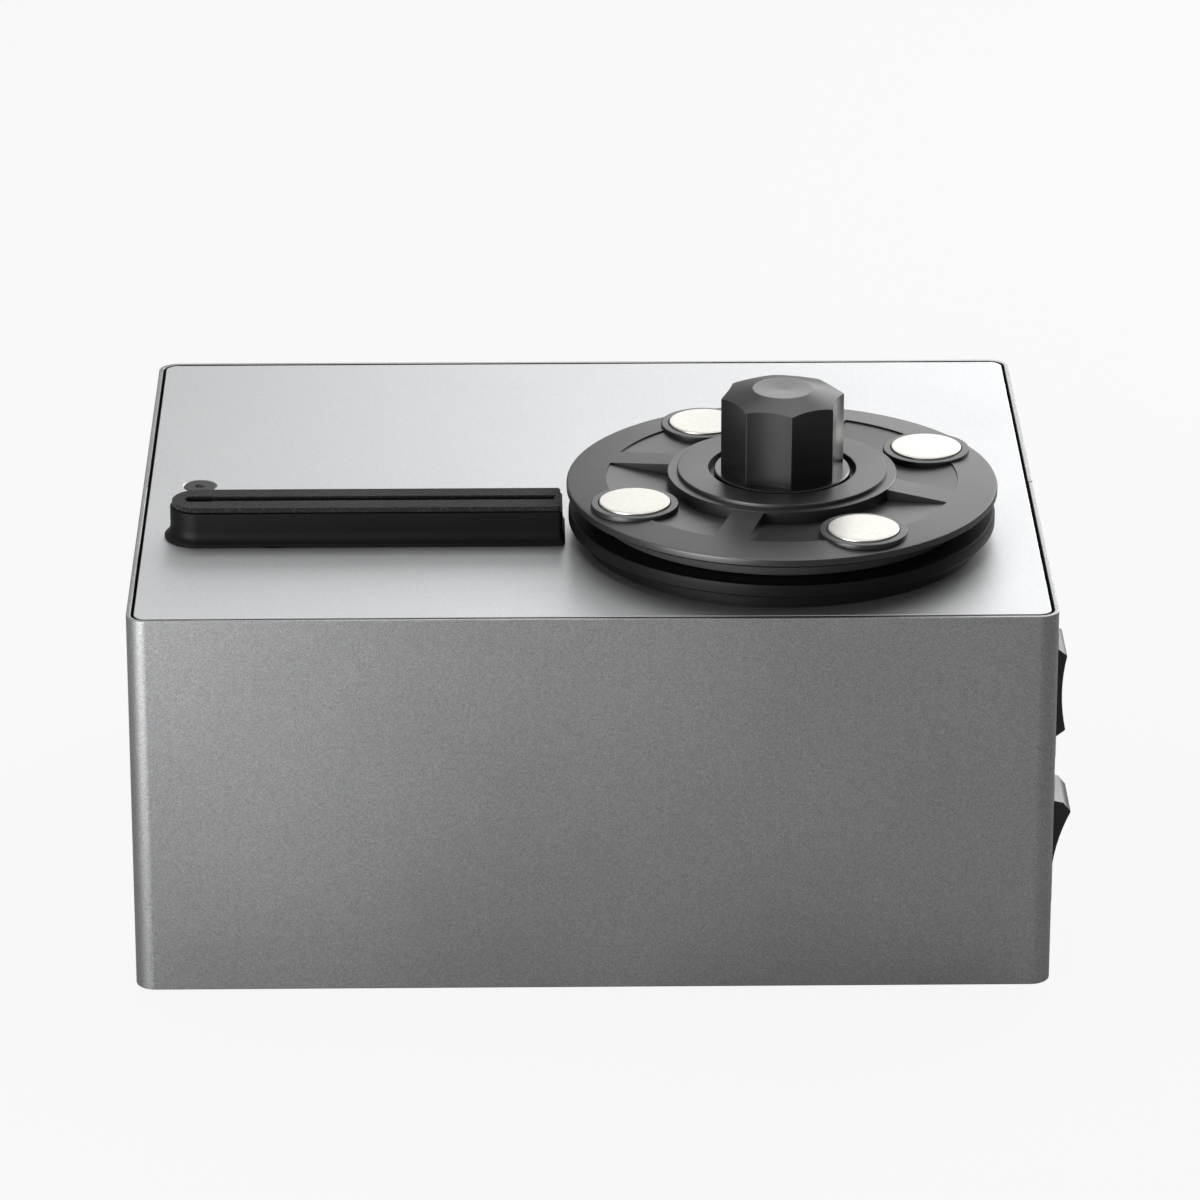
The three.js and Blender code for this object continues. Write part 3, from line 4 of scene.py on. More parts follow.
import bpy
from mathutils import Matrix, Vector


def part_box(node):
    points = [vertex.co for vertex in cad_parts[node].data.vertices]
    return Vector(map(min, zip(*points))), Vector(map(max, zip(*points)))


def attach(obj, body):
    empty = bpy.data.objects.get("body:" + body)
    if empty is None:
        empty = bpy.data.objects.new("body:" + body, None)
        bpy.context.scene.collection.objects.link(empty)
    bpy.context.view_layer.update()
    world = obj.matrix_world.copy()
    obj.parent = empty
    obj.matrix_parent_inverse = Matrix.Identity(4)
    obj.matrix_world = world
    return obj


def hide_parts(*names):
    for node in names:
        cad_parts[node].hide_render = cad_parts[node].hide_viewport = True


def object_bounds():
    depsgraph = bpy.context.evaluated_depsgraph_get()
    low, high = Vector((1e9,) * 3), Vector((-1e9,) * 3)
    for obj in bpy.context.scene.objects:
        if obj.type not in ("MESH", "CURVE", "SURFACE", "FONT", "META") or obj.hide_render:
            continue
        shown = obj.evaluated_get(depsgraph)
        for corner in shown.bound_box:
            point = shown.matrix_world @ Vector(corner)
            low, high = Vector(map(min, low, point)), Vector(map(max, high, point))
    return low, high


# Lengths are in millimetres until they reach Blender. Heights on the deck are counted from its top.

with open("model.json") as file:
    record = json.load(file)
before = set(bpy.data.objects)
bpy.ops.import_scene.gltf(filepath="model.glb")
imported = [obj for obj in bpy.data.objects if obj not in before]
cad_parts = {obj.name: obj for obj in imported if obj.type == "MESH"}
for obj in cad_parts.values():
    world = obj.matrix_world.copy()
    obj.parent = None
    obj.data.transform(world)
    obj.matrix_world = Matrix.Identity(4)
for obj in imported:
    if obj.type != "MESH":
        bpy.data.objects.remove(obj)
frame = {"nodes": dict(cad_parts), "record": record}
cad_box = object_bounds()

MM = 0.001
WELD = 0.01
NEAR = 0.01
OVERRUN = 3
FIT = 0.2
LATHE_SIDES = 128
SMALL_LATHE_SIDES = 64
EDGE_SEGMENTS = 3
EDGE_ANGLE = 35
SMOOTH_ANGLE = 38
FLAT_ANGLE = 0.5
FACING = 0.9
ROUND_SHARE = 0.3
FACE_REAR = (math.radians(-90), 0, 0)

# Housing
SHELL_WALL = 1.2
SHELL_CORNER = 5
SHELL_EDGE = 0.28
CORNER_SEGMENTS = 12
DECK_THICKNESS = 3
DECK_CORNER = 3.1
DECK_EDGE = 0.22
COUNTERSINK_RADIUS = 4.45
HOLE_RADIUS = 2.2
BEARING_HOLE_RADIUS = 14.2
PORT_HOLE_RADIUS = 8.7
VENT_SLOTS = 6
VENT_WIDTH = 2.4
VENT_HEIGHT = 22
VENT_PITCH = 4.2
VENT_MIDDLE = 58.4
VENT_ROUNDING = 0.45
VENT_SEGMENTS = 6
SWITCH_SIDE_LIP = 1.2
SWITCH_END_LIP = 2.2
INLET_FLANGE = 4
# Parts seen through the gap round the deck, painted black as the gap's shade.
GAP_SHADE_PARTS = ("left_joint_bracket", "right_joint_bracket", "front_rail", "rear_rail")

# Screws and feet
SCREW_HEAD_RADIUS = 4.2
SCREW_EDGE = 0.15
SCREW_RADIUS = 2
SCREW_LENGTH = 12
SOCKET_RADIUS = 1.45
SOCKET_DEPTH = 1.8
SOCKET_SIDES = 6
SOCKET_TURN = 12
SOCKET_MARGIN = 0.1
FOOT_HOLLOW_INSET = 5
FOOT_HOLLOW_DEPTH = 0.6
FOOT_SOLE_INSET = 3.6
FOOT_ROUNDING_WIDTH = 1.2
FOOT_ROUNDING_HEIGHT = 1.1
FOOT_ROUNDING_MIDDLE = (0.4, 0.3)
FOOT_TOP_EDGE = 0.2

# Platter
COLLAR_RADIUS = 50.5
COLLAR_TOP = 3.6
COLLAR_BEVEL = 0.8
COLLAR_BORE_RADIUS = 11.2
COLLAR_SPIGOT_RADIUS = 14
PLATTER_RADIUS = 54
PLATTER_BOTTOM = 4
PLATTER_TOP = 7.5
PLATTER_BORE_RADIUS = 3.9
PLATTER_RECESS_RADIUS = 11.7
PLATTER_RECESS_DEPTH = 1.4
PLATTER_LOWER_BEVEL = 0.4
PLATTER_EDGE = 0.9
PLATTER_EDGE_MIDDLE = 0.26
SEAL_RADIUS = 48
SEAL_WIDTH = 5
SEAL_GROOVE_DEPTH = 0.35
SEAL_GROOVE_WIDTH = 0.8
SEAL_GROOVE_INSET = 1.7

# Clamp
CLAMP_RADIUS = 54.5
CLAMP_BOTTOM = 12.1
RIM_TOP = 14.3
RIM_BEVEL = 0.5
STEP_RADIUS = 29
CONE_TOP = 16.6
STEP_TOP = 16.9
STEP_EDGE = 0.16
HUB_RADIUS = 26.5
HUB_TOP = 17.9
HUB_EDGE = 0.35
HUB_HOLE_RADIUS = 18.6
WEB_TOP = 15.3
RECESS_RADIUS = 15
RECESS_TOP = 13.3
NECK_HOLE_RADIUS = 9.4
POCKET_RADIUS = 44.5
POCKET_FLOOR = 13.9
POCKET_STEP = 0.4
CUT_IN = 0.05
SPOKES = 4
SPOKE_WIDTH = 8
SPOKE_ANGLE = 71
MAGNETS = 4
MAGNET_ANGLE = 26.4
MAGNET_CIRCLE = 42
MAGNET_RADIUS = 9
MAGNET_BOTTOM = 13.1
MAGNET_TOP = 16.3
MAGNET_LOWER_BEVEL = 0.3
MAGNET_EDGE_WIDTH = 0.45
MAGNET_EDGE_HEIGHT = 0.5
MAGNET_EDGE_MIDDLE = (0.12, 0.18)
BOSS_RADIUS = 11
BOSS_TOP = 15.8

# Knob
RIDGE_RADIUS = 15.7
RIDGE_EDGE = 0.35
RIDGE_WELD = 0.05
RIDGE_MARGIN = 0.1
FLUTES = 8
FLUTE_RADIUS = 30.1
FLUTE_DISTANCE = 44
FIRST_RIDGE_ANGLE = -83.5
GRIP_BOTTOM = 16.7
SHOULDER_HEIGHT = 36.9
SHOULDER_EDGE = 0.45
SHOULDER_INWARD_SHARE = 0.2
SHOULDER_DOWNWARD_SHARE = 0.35
KNOB_TOP = 39.1
KNOB_TOP_RADIUS = 7.5
KNOB_DISH = 0.5
DISH_FLAT_RADIUS = 0.6
CREASE = 0.3
SKIRT_RADIUS = 17.2
SKIRT_BOTTOM = 15.7
SKIRT_TOP = 17.7
SKIRT_BEVEL = 0.3
NECK_RADIUS = 9
NECK_BOTTOM = 11.5
KNOB_BORE_RADIUS = 7
KNOB_BORE_TOP = 33.4

# Suction arm, lengths from the platter's axis
ARM_SIDES = 96
ARM_HALF_WIDTH = 7.2
ARM_INNER_END = 55.5
ARM_OUTER_END = 154.8
ARM_INNER_CORNER = 1
ARM_CORNER_SEGMENTS = 6
ARM_TOP = 8.6
ARM_EDGE = 0.35
ARM_EDGE_ANGLE = 50
ARM_FOOT_END = 54.9
ARM_FOOT_RIM = 0.7
ARM_FOOT_FLARE = 1.55
ARM_FOOT_HEIGHT = 4
ARM_FOOT_STEPS = 6
SLOT_INNER = 57.5
SLOT_OUTER = 151
SLOT_WIDTH = 2.2
SLOT_FLOOR = 1.8
SLOT_RECESS_WIDTH = 3
SLOT_RECESS_LENGTH = 7
CHANNEL_WIDTH = 8
CHANNEL_TOP = 6.6
ARM_FLOOR = 1.6
STUB_DISTANCE = 128.5
STUB_RADIUS = 7
STUB_BORE = 4.5
STUB_LENGTH = 14
STUB_GROOVE_DEPTH = 1.2
STUB_GROOVE_MARGIN = 1
PORT_BORE_RADIUS = 7.4
PORT_RADIUS = 9
PORT_NECK_RADIUS = 8.5
PORT_FLANGE_RADIUS = 13
PORT_FLANGE_THICKNESS = 2
VELVET_TOP = 10
VELVET_INSET = 0.5
VELVET_JOINT = 0.01
VELVET_EDGE = 0.3
VELVET_EDGE_SEGMENTS = 4

# Switches, inlet and drain
MOULDED_EDGE_ANGLE = 40
BEZEL_EDGE = 0.3
ROCKER_EDGE = 0.4
INLET_EDGE = 0.25
DRAIN_RADIUS = 6.5
DRAIN_BORE_RADIUS = 4.4
DRAIN_SEAT_RADIUS = 5.7
DRAIN_SEAT_DEPTH = 3
DRAIN_EDGE = 0.2
PLUG_RADIUS = 4
PLUG_HEAD_RADIUS = 5.3
PLUG_HEAD_DEPTH = 2.6
PLUG_BEVEL = 0.3
COIN_SLOT_LENGTH = 12
COIN_SLOT_WIDTH = 1.4
COIN_SLOT_DEPTH = 1.2

# Camera, floor and room
CAMERA_PLACE = (-23.3, -1575.3, 715.5)
CAMERA_LENS = 196
CAMERA_SENSOR = 36
CAMERA_REACH = 20000
FLOOR_SIZE = 6000
FLOOR_DROP = 0.1
WHITE = (1, 1, 1, 1)
PAPER_COLOUR = (0.42, 0.42, 0.425, 1)
FLOOR_GLOW = (("Is Camera Ray", 0.91), ("Is Glossy Ray", 0.03), ("Is Transmission Ray", 0.03))
ROOM_LIGHT = 0.2
ROOM_SEEN = 0.4
LAMP_AIM = (0, 0, 60)


# Camera
def add_camera():
    low, high = cad_box
    middle = (Vector(low) + Vector(high)) / 2
    place = Vector(CAMERA_PLACE) * MM
    bpy.ops.object.camera_add(location=place)
    camera = bpy.context.object
    camera.rotation_euler = (middle - place).to_track_quat("-Z", "Y").to_euler()
    camera.data.lens = CAMERA_LENS
    camera.data.sensor_width = CAMERA_SENSOR
    camera.data.clip_end = CAMERA_REACH * MM
    bpy.context.scene.camera = camera


# Surface effects, each a group that gives a mask and a normal
def start_effect(name, scale, depth):
    group = bpy.data.node_groups.new(name, "ShaderNodeTree")
    group.interface.new_socket("Vector", in_out="INPUT", socket_type="NodeSocketVector")
    for label, value in (("Scale", scale), ("Depth", depth * MM)):
        socket = group.interface.new_socket(label, in_out="INPUT", socket_type="NodeSocketFloat")
        socket.default_value = value
    group.interface.new_socket("Mask", in_out="OUTPUT", socket_type="NodeSocketFloat")
    group.interface.new_socket("Normal", in_out="OUTPUT", socket_type="NodeSocketVector")
    return group, group.nodes.new("NodeGroupInput")


def end_effect(group, inside, height, mask):
    outside = group.nodes.new("NodeGroupOutput")
    bump = group.nodes.new("ShaderNodeBump")
    bump.inputs["Strength"].default_value = 1
    group.links.new(inside.outputs["Depth"], bump.inputs["Distance"])
    group.links.new(height, bump.inputs["Height"])
    group.links.new(mask, outside.inputs["Mask"])
    group.links.new(bump.outputs["Normal"], outside.inputs["Normal"])


def spread(group, value, low, high):
    """Stretches a noise value from low..high to 0..1."""
    node = group.nodes.new("ShaderNodeMapRange")
    node.inputs["From Min"].default_value = low
    node.inputs["From Max"].default_value = high
    group.links.new(value, node.inputs["Value"])
    return node.outputs["Result"]


def noise(group, inside, detail, factor=1.0, vector=None):
    """A noise whose scale is the group's own Scale times a factor."""
    size = group.nodes.new("ShaderNodeMath")
    size.operation = "MULTIPLY"
    size.inputs[1].default_value = factor
    group.links.new(inside.outputs["Scale"], size.inputs[0])
    node = group.nodes.new("ShaderNodeTexNoise")
    node.inputs["Detail"].default_value = detail
    group.links.new(size.outputs["Value"], node.inputs["Scale"])
    group.links.new(vector or inside.outputs["Vector"], node.inputs["Vector"])
    return node.outputs["Fac"]


def blend_values(group, first, second, share):
    node = group.nodes.new("ShaderNodeMix")
    node.inputs["Factor"].default_value = share
    group.links.new(first, node.inputs["A"])
    group.links.new(second, node.inputs["B"])
    return node.outputs["Result"]


def blasted_grain():
    """The fine sparkle of a bead-blasted and anodised sheet."""
    group, inside = start_effect("blasted_grain", scale=2400, depth=0.02)
    fine = spread(group, noise(group, inside, detail=1.0), low=0.3, high=0.7)
    coarse = spread(group, noise(group, inside, detail=1.0, factor=0.35), low=0.3, high=0.7)
    grain = blend_values(group, fine, coarse, share=0.2)
    end_effect(group, inside, height=grain, mask=grain)


def moulded_skin():
    """The faint orange peel and flow marks of moulded plastic."""
    group, inside = start_effect("moulded_skin", scale=900, depth=0.01)
    peel = noise(group, inside, detail=2.0)
    flow = spread(group, noise(group, inside, detail=3.0, factor=0.04), low=0.3, high=0.7)
    end_effect(group, inside, height=peel, mask=flow)


def velvet_pile():
    """Short fibres in small tufts, with a few painted lighter in colour as glints where they catch the
    light.
    """
    group, inside = start_effect("velvet_pile", scale=2600, depth=0.25)
    fibres = spread(group, noise(group, inside, detail=3.0), low=0.35, high=0.65)
    tufts = spread(group, noise(group, inside, detail=2.0, factor=0.25), low=0.35, high=0.65)
    painted_glints = spread(group, noise(group, inside, detail=0.0, factor=0.8), low=0.62, high=0.78)
    end_effect(group, inside, height=blend_values(group, fibres, tufts, share=0.4), mask=painted_glints)


def turning_lines():
    """Fine lines left by cutting or drawing, along X and Y."""
    group, inside = start_effect("turning_lines", scale=500, depth=0.01)
    stretch = group.nodes.new("ShaderNodeMapping")
    stretch.inputs["Scale"].default_value = (0.08, 0.08, 6)
    group.links.new(inside.outputs["Vector"], stretch.inputs["Vector"])
    lines = noise(group, inside, detail=2.0, vector=stretch.outputs["Vector"])
    end_effect(group, inside, height=lines, mask=spread(group, lines, low=0.3, high=0.7))


def handling_marks():
    """Broad soft smudges where a surface has been touched and wiped."""
    group, inside = start_effect("handling_marks", scale=18, depth=0)
    smudge = spread(group, noise(group, inside, detail=4.0), low=0.35, high=0.68)
    end_effect(group, inside, height=smudge, mask=smudge)


# Finishes, each with two colours and two roughnesses that its surface runs between
finishes = {}


def place_effect(tree, coordinates, effect, **values):
    node = tree.nodes.new("ShaderNodeGroup")
    node.node_tree = bpy.data.node_groups[effect]
    for label, value in values.items():
        node.inputs[label].default_value = value
    tree.links.new(coordinates.outputs["Object"], node.inputs["Vector"])
    return node


def mix_colours(tree, mask, colours):
    node = tree.nodes.new("ShaderNodeMix")
    node.data_type = "RGBA"
    sockets = [socket for socket in node.inputs if socket.type == "RGBA"]
    for socket, value in zip(sockets, colours):
        socket.default_value = (*value, 1)
    tree.links.new(mask, node.inputs["Factor"])
    return next(socket for socket in node.outputs if socket.type == "RGBA")


def add_finish(name, colours, roughness, metallic, effect, scale, depth, **shader_values):
    """An effect's mask mixes the colours, and smudges mix the roughnesses."""
    material = bpy.data.materials.new(name)
    material.use_nodes = True
    tree = material.node_tree
    shader = tree.nodes["Principled BSDF"]
    shader.inputs["Metallic"].default_value = metallic
    for label, value in shader_values.items():
        shader.inputs[label.replace("_", " ")].default_value = value
    coordinates = tree.nodes.new("ShaderNodeTexCoord")
    surface = place_effect(tree, coordinates, effect, Scale=scale, Depth=depth * MM)
    smudges = place_effect(tree, coordinates, "handling_marks")
    tree.links.new(mix_colours(tree, surface.outputs["Mask"], colours), shader.inputs["Base Color"])
    gloss = tree.nodes.new("ShaderNodeMapRange")
    gloss.inputs["To Min"].default_value = roughness[0]
    gloss.inputs["To Max"].default_value = roughness[1]
    tree.links.new(smudges.outputs["Mask"], gloss.inputs["Value"])
    tree.links.new(gloss.outputs["Result"], shader.inputs["Roughness"])
    tree.links.new(surface.outputs["Normal"], shader.inputs["Normal"])
    finishes[name] = material


def grey(value, blue=0.0):
    """A grey, made a little colder where blue is given."""
    return value, value + blue / 2, value + blue


def metal(name, colours, roughness, effect, scale, depth, metallic=1):
    """Metal, bare unless metallic is below 1."""
    add_finish(name, colours, roughness, metallic, effect, scale, depth)


def moulded(name, colours, roughness, scale, depth, **shader_values):
    """Moulded plastic or rubber."""
    add_finish(name, colours, roughness, 0, "moulded_skin", scale, depth, **shader_values)


def add_metals():
    # The walls and the deck are one anodised aluminium in two copies: the walls' colours are darker, painted
    # shade on the upright faces, and the deck's are lighter, painted light on the top.
    aluminium = (grey(0.22, 0.005), grey(0.4, 0.006))
    metal("satin_aluminium", aluminium, (0.42, 0.46), "blasted_grain", scale=3400, depth=0.012)
    bright_aluminium = (grey(0.48, 0.012), grey(0.56, 0.012))
    metal("deck_aluminium", bright_aluminium, (0.485, 0.515), "blasted_grain", scale=3400, depth=0.006)
    nickel = ((0.44, 0.425, 0.395), (0.52, 0.505, 0.475))
    metal("nickel", nickel, (0.32, 0.4), "blasted_grain", scale=1800, depth=0.002)
    stainless = (grey(0.5, 0.01), grey(0.62, 0.01))
    metal("stainless_steel", stainless, (0.22, 0.32), "turning_lines", scale=900, depth=0.002)
    blackened = (grey(0.02), grey(0.035))
    metal("black_steel", blackened, (0.3, 0.42), "blasted_grain", scale=1800, depth=0.003, metallic=0.6)
    zinc = (grey(0.42, 0.02), grey(0.56, 0.025))
    metal("zinc_steel", zinc, (0.3, 0.45), "blasted_grain", scale=300, depth=0.003)
    brass = ((0.5, 0.33, 0.09), (0.62, 0.43, 0.15))
    metal("brass", brass, (0.2, 0.35), "turning_lines", scale=900, depth=0.003)


def add_outer_plastics():
    arm_black = (grey(0.002, 0.0003), grey(0.0035, 0.0004))
    moulded("black_plastic", arm_black, (0.45, 0.55), scale=1500, depth=0.006, Specular_IOR_Level=0.15)
    clamp_black = (grey(0.004, 0.0008), grey(0.007, 0.001))
    moulded("clamp_plastic", clamp_black, (0.36, 0.44), scale=1300, depth=0.006, Specular_IOR_Level=0.7)
    knob_black = (grey(0.004, 0.0005), grey(0.006, 0.0005))
    moulded("knob_plastic", knob_black, (0.26, 0.32), scale=700, depth=0.003)
    moulded("switch_plastic", (grey(0.012), grey(0.018)), (0.3, 0.4), scale=1600, depth=0.005)
    moulded("black_rubber", (grey(0.012), grey(0.02)), (0.6, 0.75), scale=1800, depth=0.01)
    # The lighter velvet colour is painted glints on the pile.
    velvet_black_and_glints = (grey(0.003, 0.0005), grey(0.03, 0.004))
    sheen = {"Sheen_Weight": 0.1, "Sheen_Roughness": 0.45}
    add_finish("black_velvet", velvet_black_and_glints, (0.85, 0.95), 0, "velvet_pile", scale=2600, depth=0.16, **sheen)


def add_inner_plastics():
    # Black painted shade for the gap round the deck, used on the shell's inner faces and the deck's rim and
    # hole walls.
    moulded("painted_gap_shade", (grey(0.004), grey(0.009)), (0.7, 0.85), scale=900, depth=0.004)
    milky = {"Subsurface_Weight": 0.15, "Subsurface_Scale": 0.003}
    moulded("tank_plastic", (grey(0.62), grey(0.68)), (0.35, 0.5), scale=600, depth=0.01, **milky)
    moulded("white_plastic", (grey(0.7), grey(0.76)), (0.35, 0.5), scale=900, depth=0.006)
    moulded("lead_black", (grey(0.012), grey(0.018)), (0.35, 0.5), scale=1200, depth=0.004)
    green = ((0.012, 0.09, 0.03), (0.02, 0.13, 0.045))
    add_finish("board_green", green, (0.25, 0.4), 0, "blasted_grain", scale=500, depth=0.01)


def make_finishes():
    for make_effect in (blasted_grain, moulded_skin, velvet_pile, turning_lines, handling_marks):
        make_effect()
    add_metals()
    add_outer_plastics()
    add_inner_plastics()


# Modelling helpers
def clear_selection():
    if bpy.context.object and bpy.context.object.mode != "OBJECT":
        bpy.ops.object.mode_set(mode="OBJECT")
    bpy.ops.object.select_all(action="DESELECT")


def activate(piece):
    clear_selection()
    piece.select_set(True)
    bpy.context.view_layer.objects.active = piece


def keep_place(piece):
    activate(piece)
    bpy.ops.object.transform_apply(location=True, rotation=True, scale=True)
    return piece


def turn_piece(piece, rotation, place):
    """Turns a piece made round the origin, and moves it to its place."""
    piece.rotation_euler = rotation
    piece.location = Vector(place) * MM
    return keep_place(piece)


def box_mm(node):
    low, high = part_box(node)
    return Vector(low) / MM, Vector(high) / MM


def middle_mm(node):
    low, high = box_mm(node)
    return (low + high) / 2


def middle_x(node):
    low, high = box_mm(node)
    return (low.x + high.x) / 2


def block(name, low, high):
    low, high = Vector(low), Vector(high)
    clear_selection()
    bpy.ops.mesh.primitive_cube_add(size=1, location=(low + high) / 2 * MM)
    piece = bpy.context.object
    piece.name = piece.data.name = name
    piece.scale = (high - low) * MM
    return keep_place(piece)


def turned(name, profile, centre, sides=LATHE_SIDES):
    """A circle extruded through (radius, height) pairs, a ring where the last pair is the first."""
    clear_selection()
    radius, height = profile[0]
    ring = profile[-1] == profile[0]
    start = (centre + Vector((0, 0, height))) * MM
    fill = "NOTHING" if ring else "NGON"
    bpy.ops.mesh.primitive_circle_add(vertices=sides, radius=radius * MM, fill_type=fill, location=start)
    piece = bpy.context.object
    piece.name = piece.data.name = name
    keep_place(piece)
    bpy.ops.object.mode_set(mode="EDIT")
    bpy.ops.mesh.select_mode(type="EDGE" if ring else "FACE")
    bpy.ops.mesh.select_all(action="SELECT")
    for next_radius, next_height in profile[1:]:
        extrude_up(next_height - height)
        share = next_radius / radius
        middle = (centre + Vector((0, 0, next_height))) * MM
        bpy.ops.transform.resize(value=(share, share, 1), center_override=middle)
        radius, height = next_radius, next_height
    bpy.ops.mesh.select_all(action="SELECT")
    bpy.ops.mesh.remove_doubles(threshold=WELD * MM)
    bpy.ops.mesh.normals_make_consistent(inside=False)
    bpy.ops.object.mode_set(mode="OBJECT")
    return piece


def extrude_up(height):
    bpy.ops.mesh.extrude_region_move(TRANSFORM_OT_translate={"value": (0, 0, height * MM)})


def open_for_edit(piece, element):
    """Deselects the piece's vertices, edges and faces, and sets which of them are picked next."""
    activate(piece)
    bpy.ops.object.mode_set(mode="EDIT")
    bpy.ops.mesh.select_mode(type=element)
    bpy.ops.mesh.select_all(action="DESELECT")
    bpy.ops.object.mode_set(mode="OBJECT")


def pick_all(piece, element="FACE"):
    """Leaves the piece in edit mode with all of it selected."""
    open_for_edit(piece, element)
    bpy.ops.object.mode_set(mode="EDIT")
    bpy.ops.mesh.select_all(action="SELECT")


def pick_edges(piece, wanted):
    """Leaves the piece in edit mode with the edges selected whose two ends the rule accepts."""
    open_for_edit(piece, "EDGE")
    points = [vertex.co / MM for vertex in piece.data.vertices]
    for edge in piece.data.edges:
        edge.select = wanted(points[edge.vertices[0]], points[edge.vertices[1]])
    bpy.ops.object.mode_set(mode="EDIT")


def pick_faces(piece, wanted):
    """Leaves the piece in edit mode with the faces selected whose centre and normal the rule accepts."""
    open_for_edit(piece, "FACE")
    for face in piece.data.polygons:
        face.select = wanted(face.center / MM, face.normal)
    bpy.ops.object.mode_set(mode="EDIT")


def bevel_picked(width, segments, affect="EDGES"):
    """Rounds what is selected, and leaves edit mode."""
    bpy.ops.mesh.bevel(offset=width * MM, segments=segments, affect=affect)
    bpy.ops.object.mode_set(mode="OBJECT")


def apply_modifier(piece, kind, **values):
    activate(piece)
    modifier = piece.modifiers.new("shape", kind)
    for label, value in values.items():
        setattr(modifier, label, value)
    bpy.ops.object.modifier_apply(modifier=modifier.name)
    return piece


def weld(piece, gap=WELD):
    """Merges points that lie closer together than the gap."""
    pick_all(piece, "VERT")
    bpy.ops.mesh.remove_doubles(threshold=gap * MM)
    bpy.ops.mesh.dissolve_degenerate(threshold=WELD * MM / 2)
    bpy.ops.object.mode_set(mode="OBJECT")
    return piece


def carve(piece, *tools, operation="DIFFERENCE"):
    for tool in tools:
        apply_modifier(piece, "BOOLEAN", operation=operation, solver="EXACT", object=tool)
        bpy.data.objects.remove(tool, do_unlink=True)
    return weld(piece)


def soften(piece, width, angle=EDGE_ANGLE, clamp=True):
    """Rounds every edge sharper than the angle."""
    return apply_modifier(
        piece,
        "BEVEL",
        width=width * MM,
        segments=EDGE_SEGMENTS,
        limit_method="ANGLE",
        angle_limit=math.radians(angle),
        use_clamp_overlap=clamp,
        loop_slide=False,
    )


def round_edge(radius, height, edge, side=1):
    """A rounded edge's three profile points, from its wall to its top. Side is -1 round a hole."""
    middle = ROUND_SHARE * edge
    return (radius, height - edge), (radius - side * middle, height - middle), (radius - side * edge, height)


def copy_of_node(node, name):
    """The CAD node's mesh with its triangles merged into whole faces."""
    clear_selection()
    mesh = frame["nodes"][node].data.copy()
    piece = bpy.data.objects.new(name, mesh)
    bpy.context.scene.collection.objects.link(piece)
    mesh.materials.clear()
    activate(piece)
    bpy.ops.object.mode_set(mode="EDIT")
    bpy.ops.mesh.select_all(action="SELECT")
    bpy.ops.mesh.remove_doubles(threshold=WELD * MM)
    bpy.ops.mesh.dissolve_limited(angle_limit=math.radians(FLAT_ANGLE))
    bpy.ops.object.mode_set(mode="OBJECT")
    return piece


def add_slots(piece, *names):
    for name in names:
        piece.data.materials.append(finishes[name])


def finish_piece(piece, body, slot, *nodes):
    activate(piece)
    bpy.ops.object.shade_smooth_by_angle(angle=math.radians(SMOOTH_ANGLE))
    apply_modifier(piece, "WEIGHTED_NORMAL", keep_sharp=True)
    if not piece.data.materials:
        add_slots(piece, slot)
    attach(piece, body)
    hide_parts(*nodes)
    return piece


# Housing
def shell_skin(node, side):
    """Half of the outer wall, open at its top, at its bottom and where the other half meets it."""
    piece = block(node + "_skin", *box_mm(node))
    pick_edges(piece, lambda a, b: abs(a.z - b.z) > SHELL_CORNER and a.y * side > SHELL_CORNER)
    bevel_picked(SHELL_CORNER, CORNER_SEGMENTS)
    pick_faces(piece, lambda centre, normal: abs(normal.z) > FACING or normal.y * side < -FACING)
    bpy.ops.mesh.delete(type="ONLY_FACE")
    bpy.ops.object.mode_set(mode="OBJECT")
    # The inner faces get the black that paints the shade inside the gap round the deck.
    add_slots(piece, "satin_aluminium", "painted_gap_shade")
    wall = SHELL_WALL * MM
    apply_modifier(piece, "SOLIDIFY", thickness=wall, offset=-1, use_even_offset=True, material_offset=1)
    return piece


def front_shell():
    piece = shell_skin("front_shell", -1)
    lip = Vector((0, SWITCH_SIDE_LIP, SWITCH_END_LIP))
    for node in ("direction_switch_body", "vacuum_switch_body"):
        low, high = box_mm(node)
        carve(piece, block("switch_cut", low + lip, high - lip))
    soften(piece, SHELL_EDGE)
    finish_piece(piece, "housing", "satin_aluminium", "front_shell")


def cut_vents(piece, rear):
    """Upright slots where the fan blows out."""
    for index in range(VENT_SLOTS):
        x = middle_x("impeller") + (index - (VENT_SLOTS - 1) / 2) * VENT_PITCH
        low = (x - VENT_WIDTH / 2, rear - OVERRUN, VENT_MIDDLE - VENT_HEIGHT / 2)
        high = (x + VENT_WIDTH / 2, rear + OVERRUN, VENT_MIDDLE + VENT_HEIGHT / 2)
        slot = block("vent_cut", low, high)
        pick_edges(slot, lambda a, b: abs(a.y - b.y) > OVERRUN)
        bevel_picked(VENT_ROUNDING * VENT_WIDTH, VENT_SEGMENTS)
        carve(piece, slot)


def cut_inlet(piece, rear):
    low, high = box_mm("power_inlet")
    half_width = (high.x - low.x) / 2 - INLET_FLANGE + FIT
    half_height = (high.z - low.z) / 2 - INLET_FLANGE + FIT
    x, z = middle_x("fuse_drawer"), (low.z + high.z) / 2
    low_corner = (x - half_width, rear - OVERRUN, z - half_height)
    high_corner = (x + half_width, rear + OVERRUN, z + half_height)
    carve(piece, block("inlet_cut", low_corner, high_corner))


def cut_drain(piece, rear):
    low, high = box_mm("drain_fitting")
    radius = (high.x - low.x) / 2 + FIT
    cutter = turned("drain_cut", ((radius, -OVERRUN), (radius, OVERRUN)), Vector(), SMALL_LATHE_SIDES)
    carve(piece, turn_piece(cutter, FACE_REAR, ((low.x + high.x) / 2, rear, (low.z + high.z) / 2)))


def rear_shell():
    piece = shell_skin("rear_shell", 1)
    rear = box_mm("rear_shell")[1].y
    cut_vents(piece, rear)
    cut_inlet(piece, rear)
    cut_drain(piece, rear)
    soften(piece, SHELL_EDGE)
    finish_piece(piece, "housing", "satin_aluminium", "rear_shell")


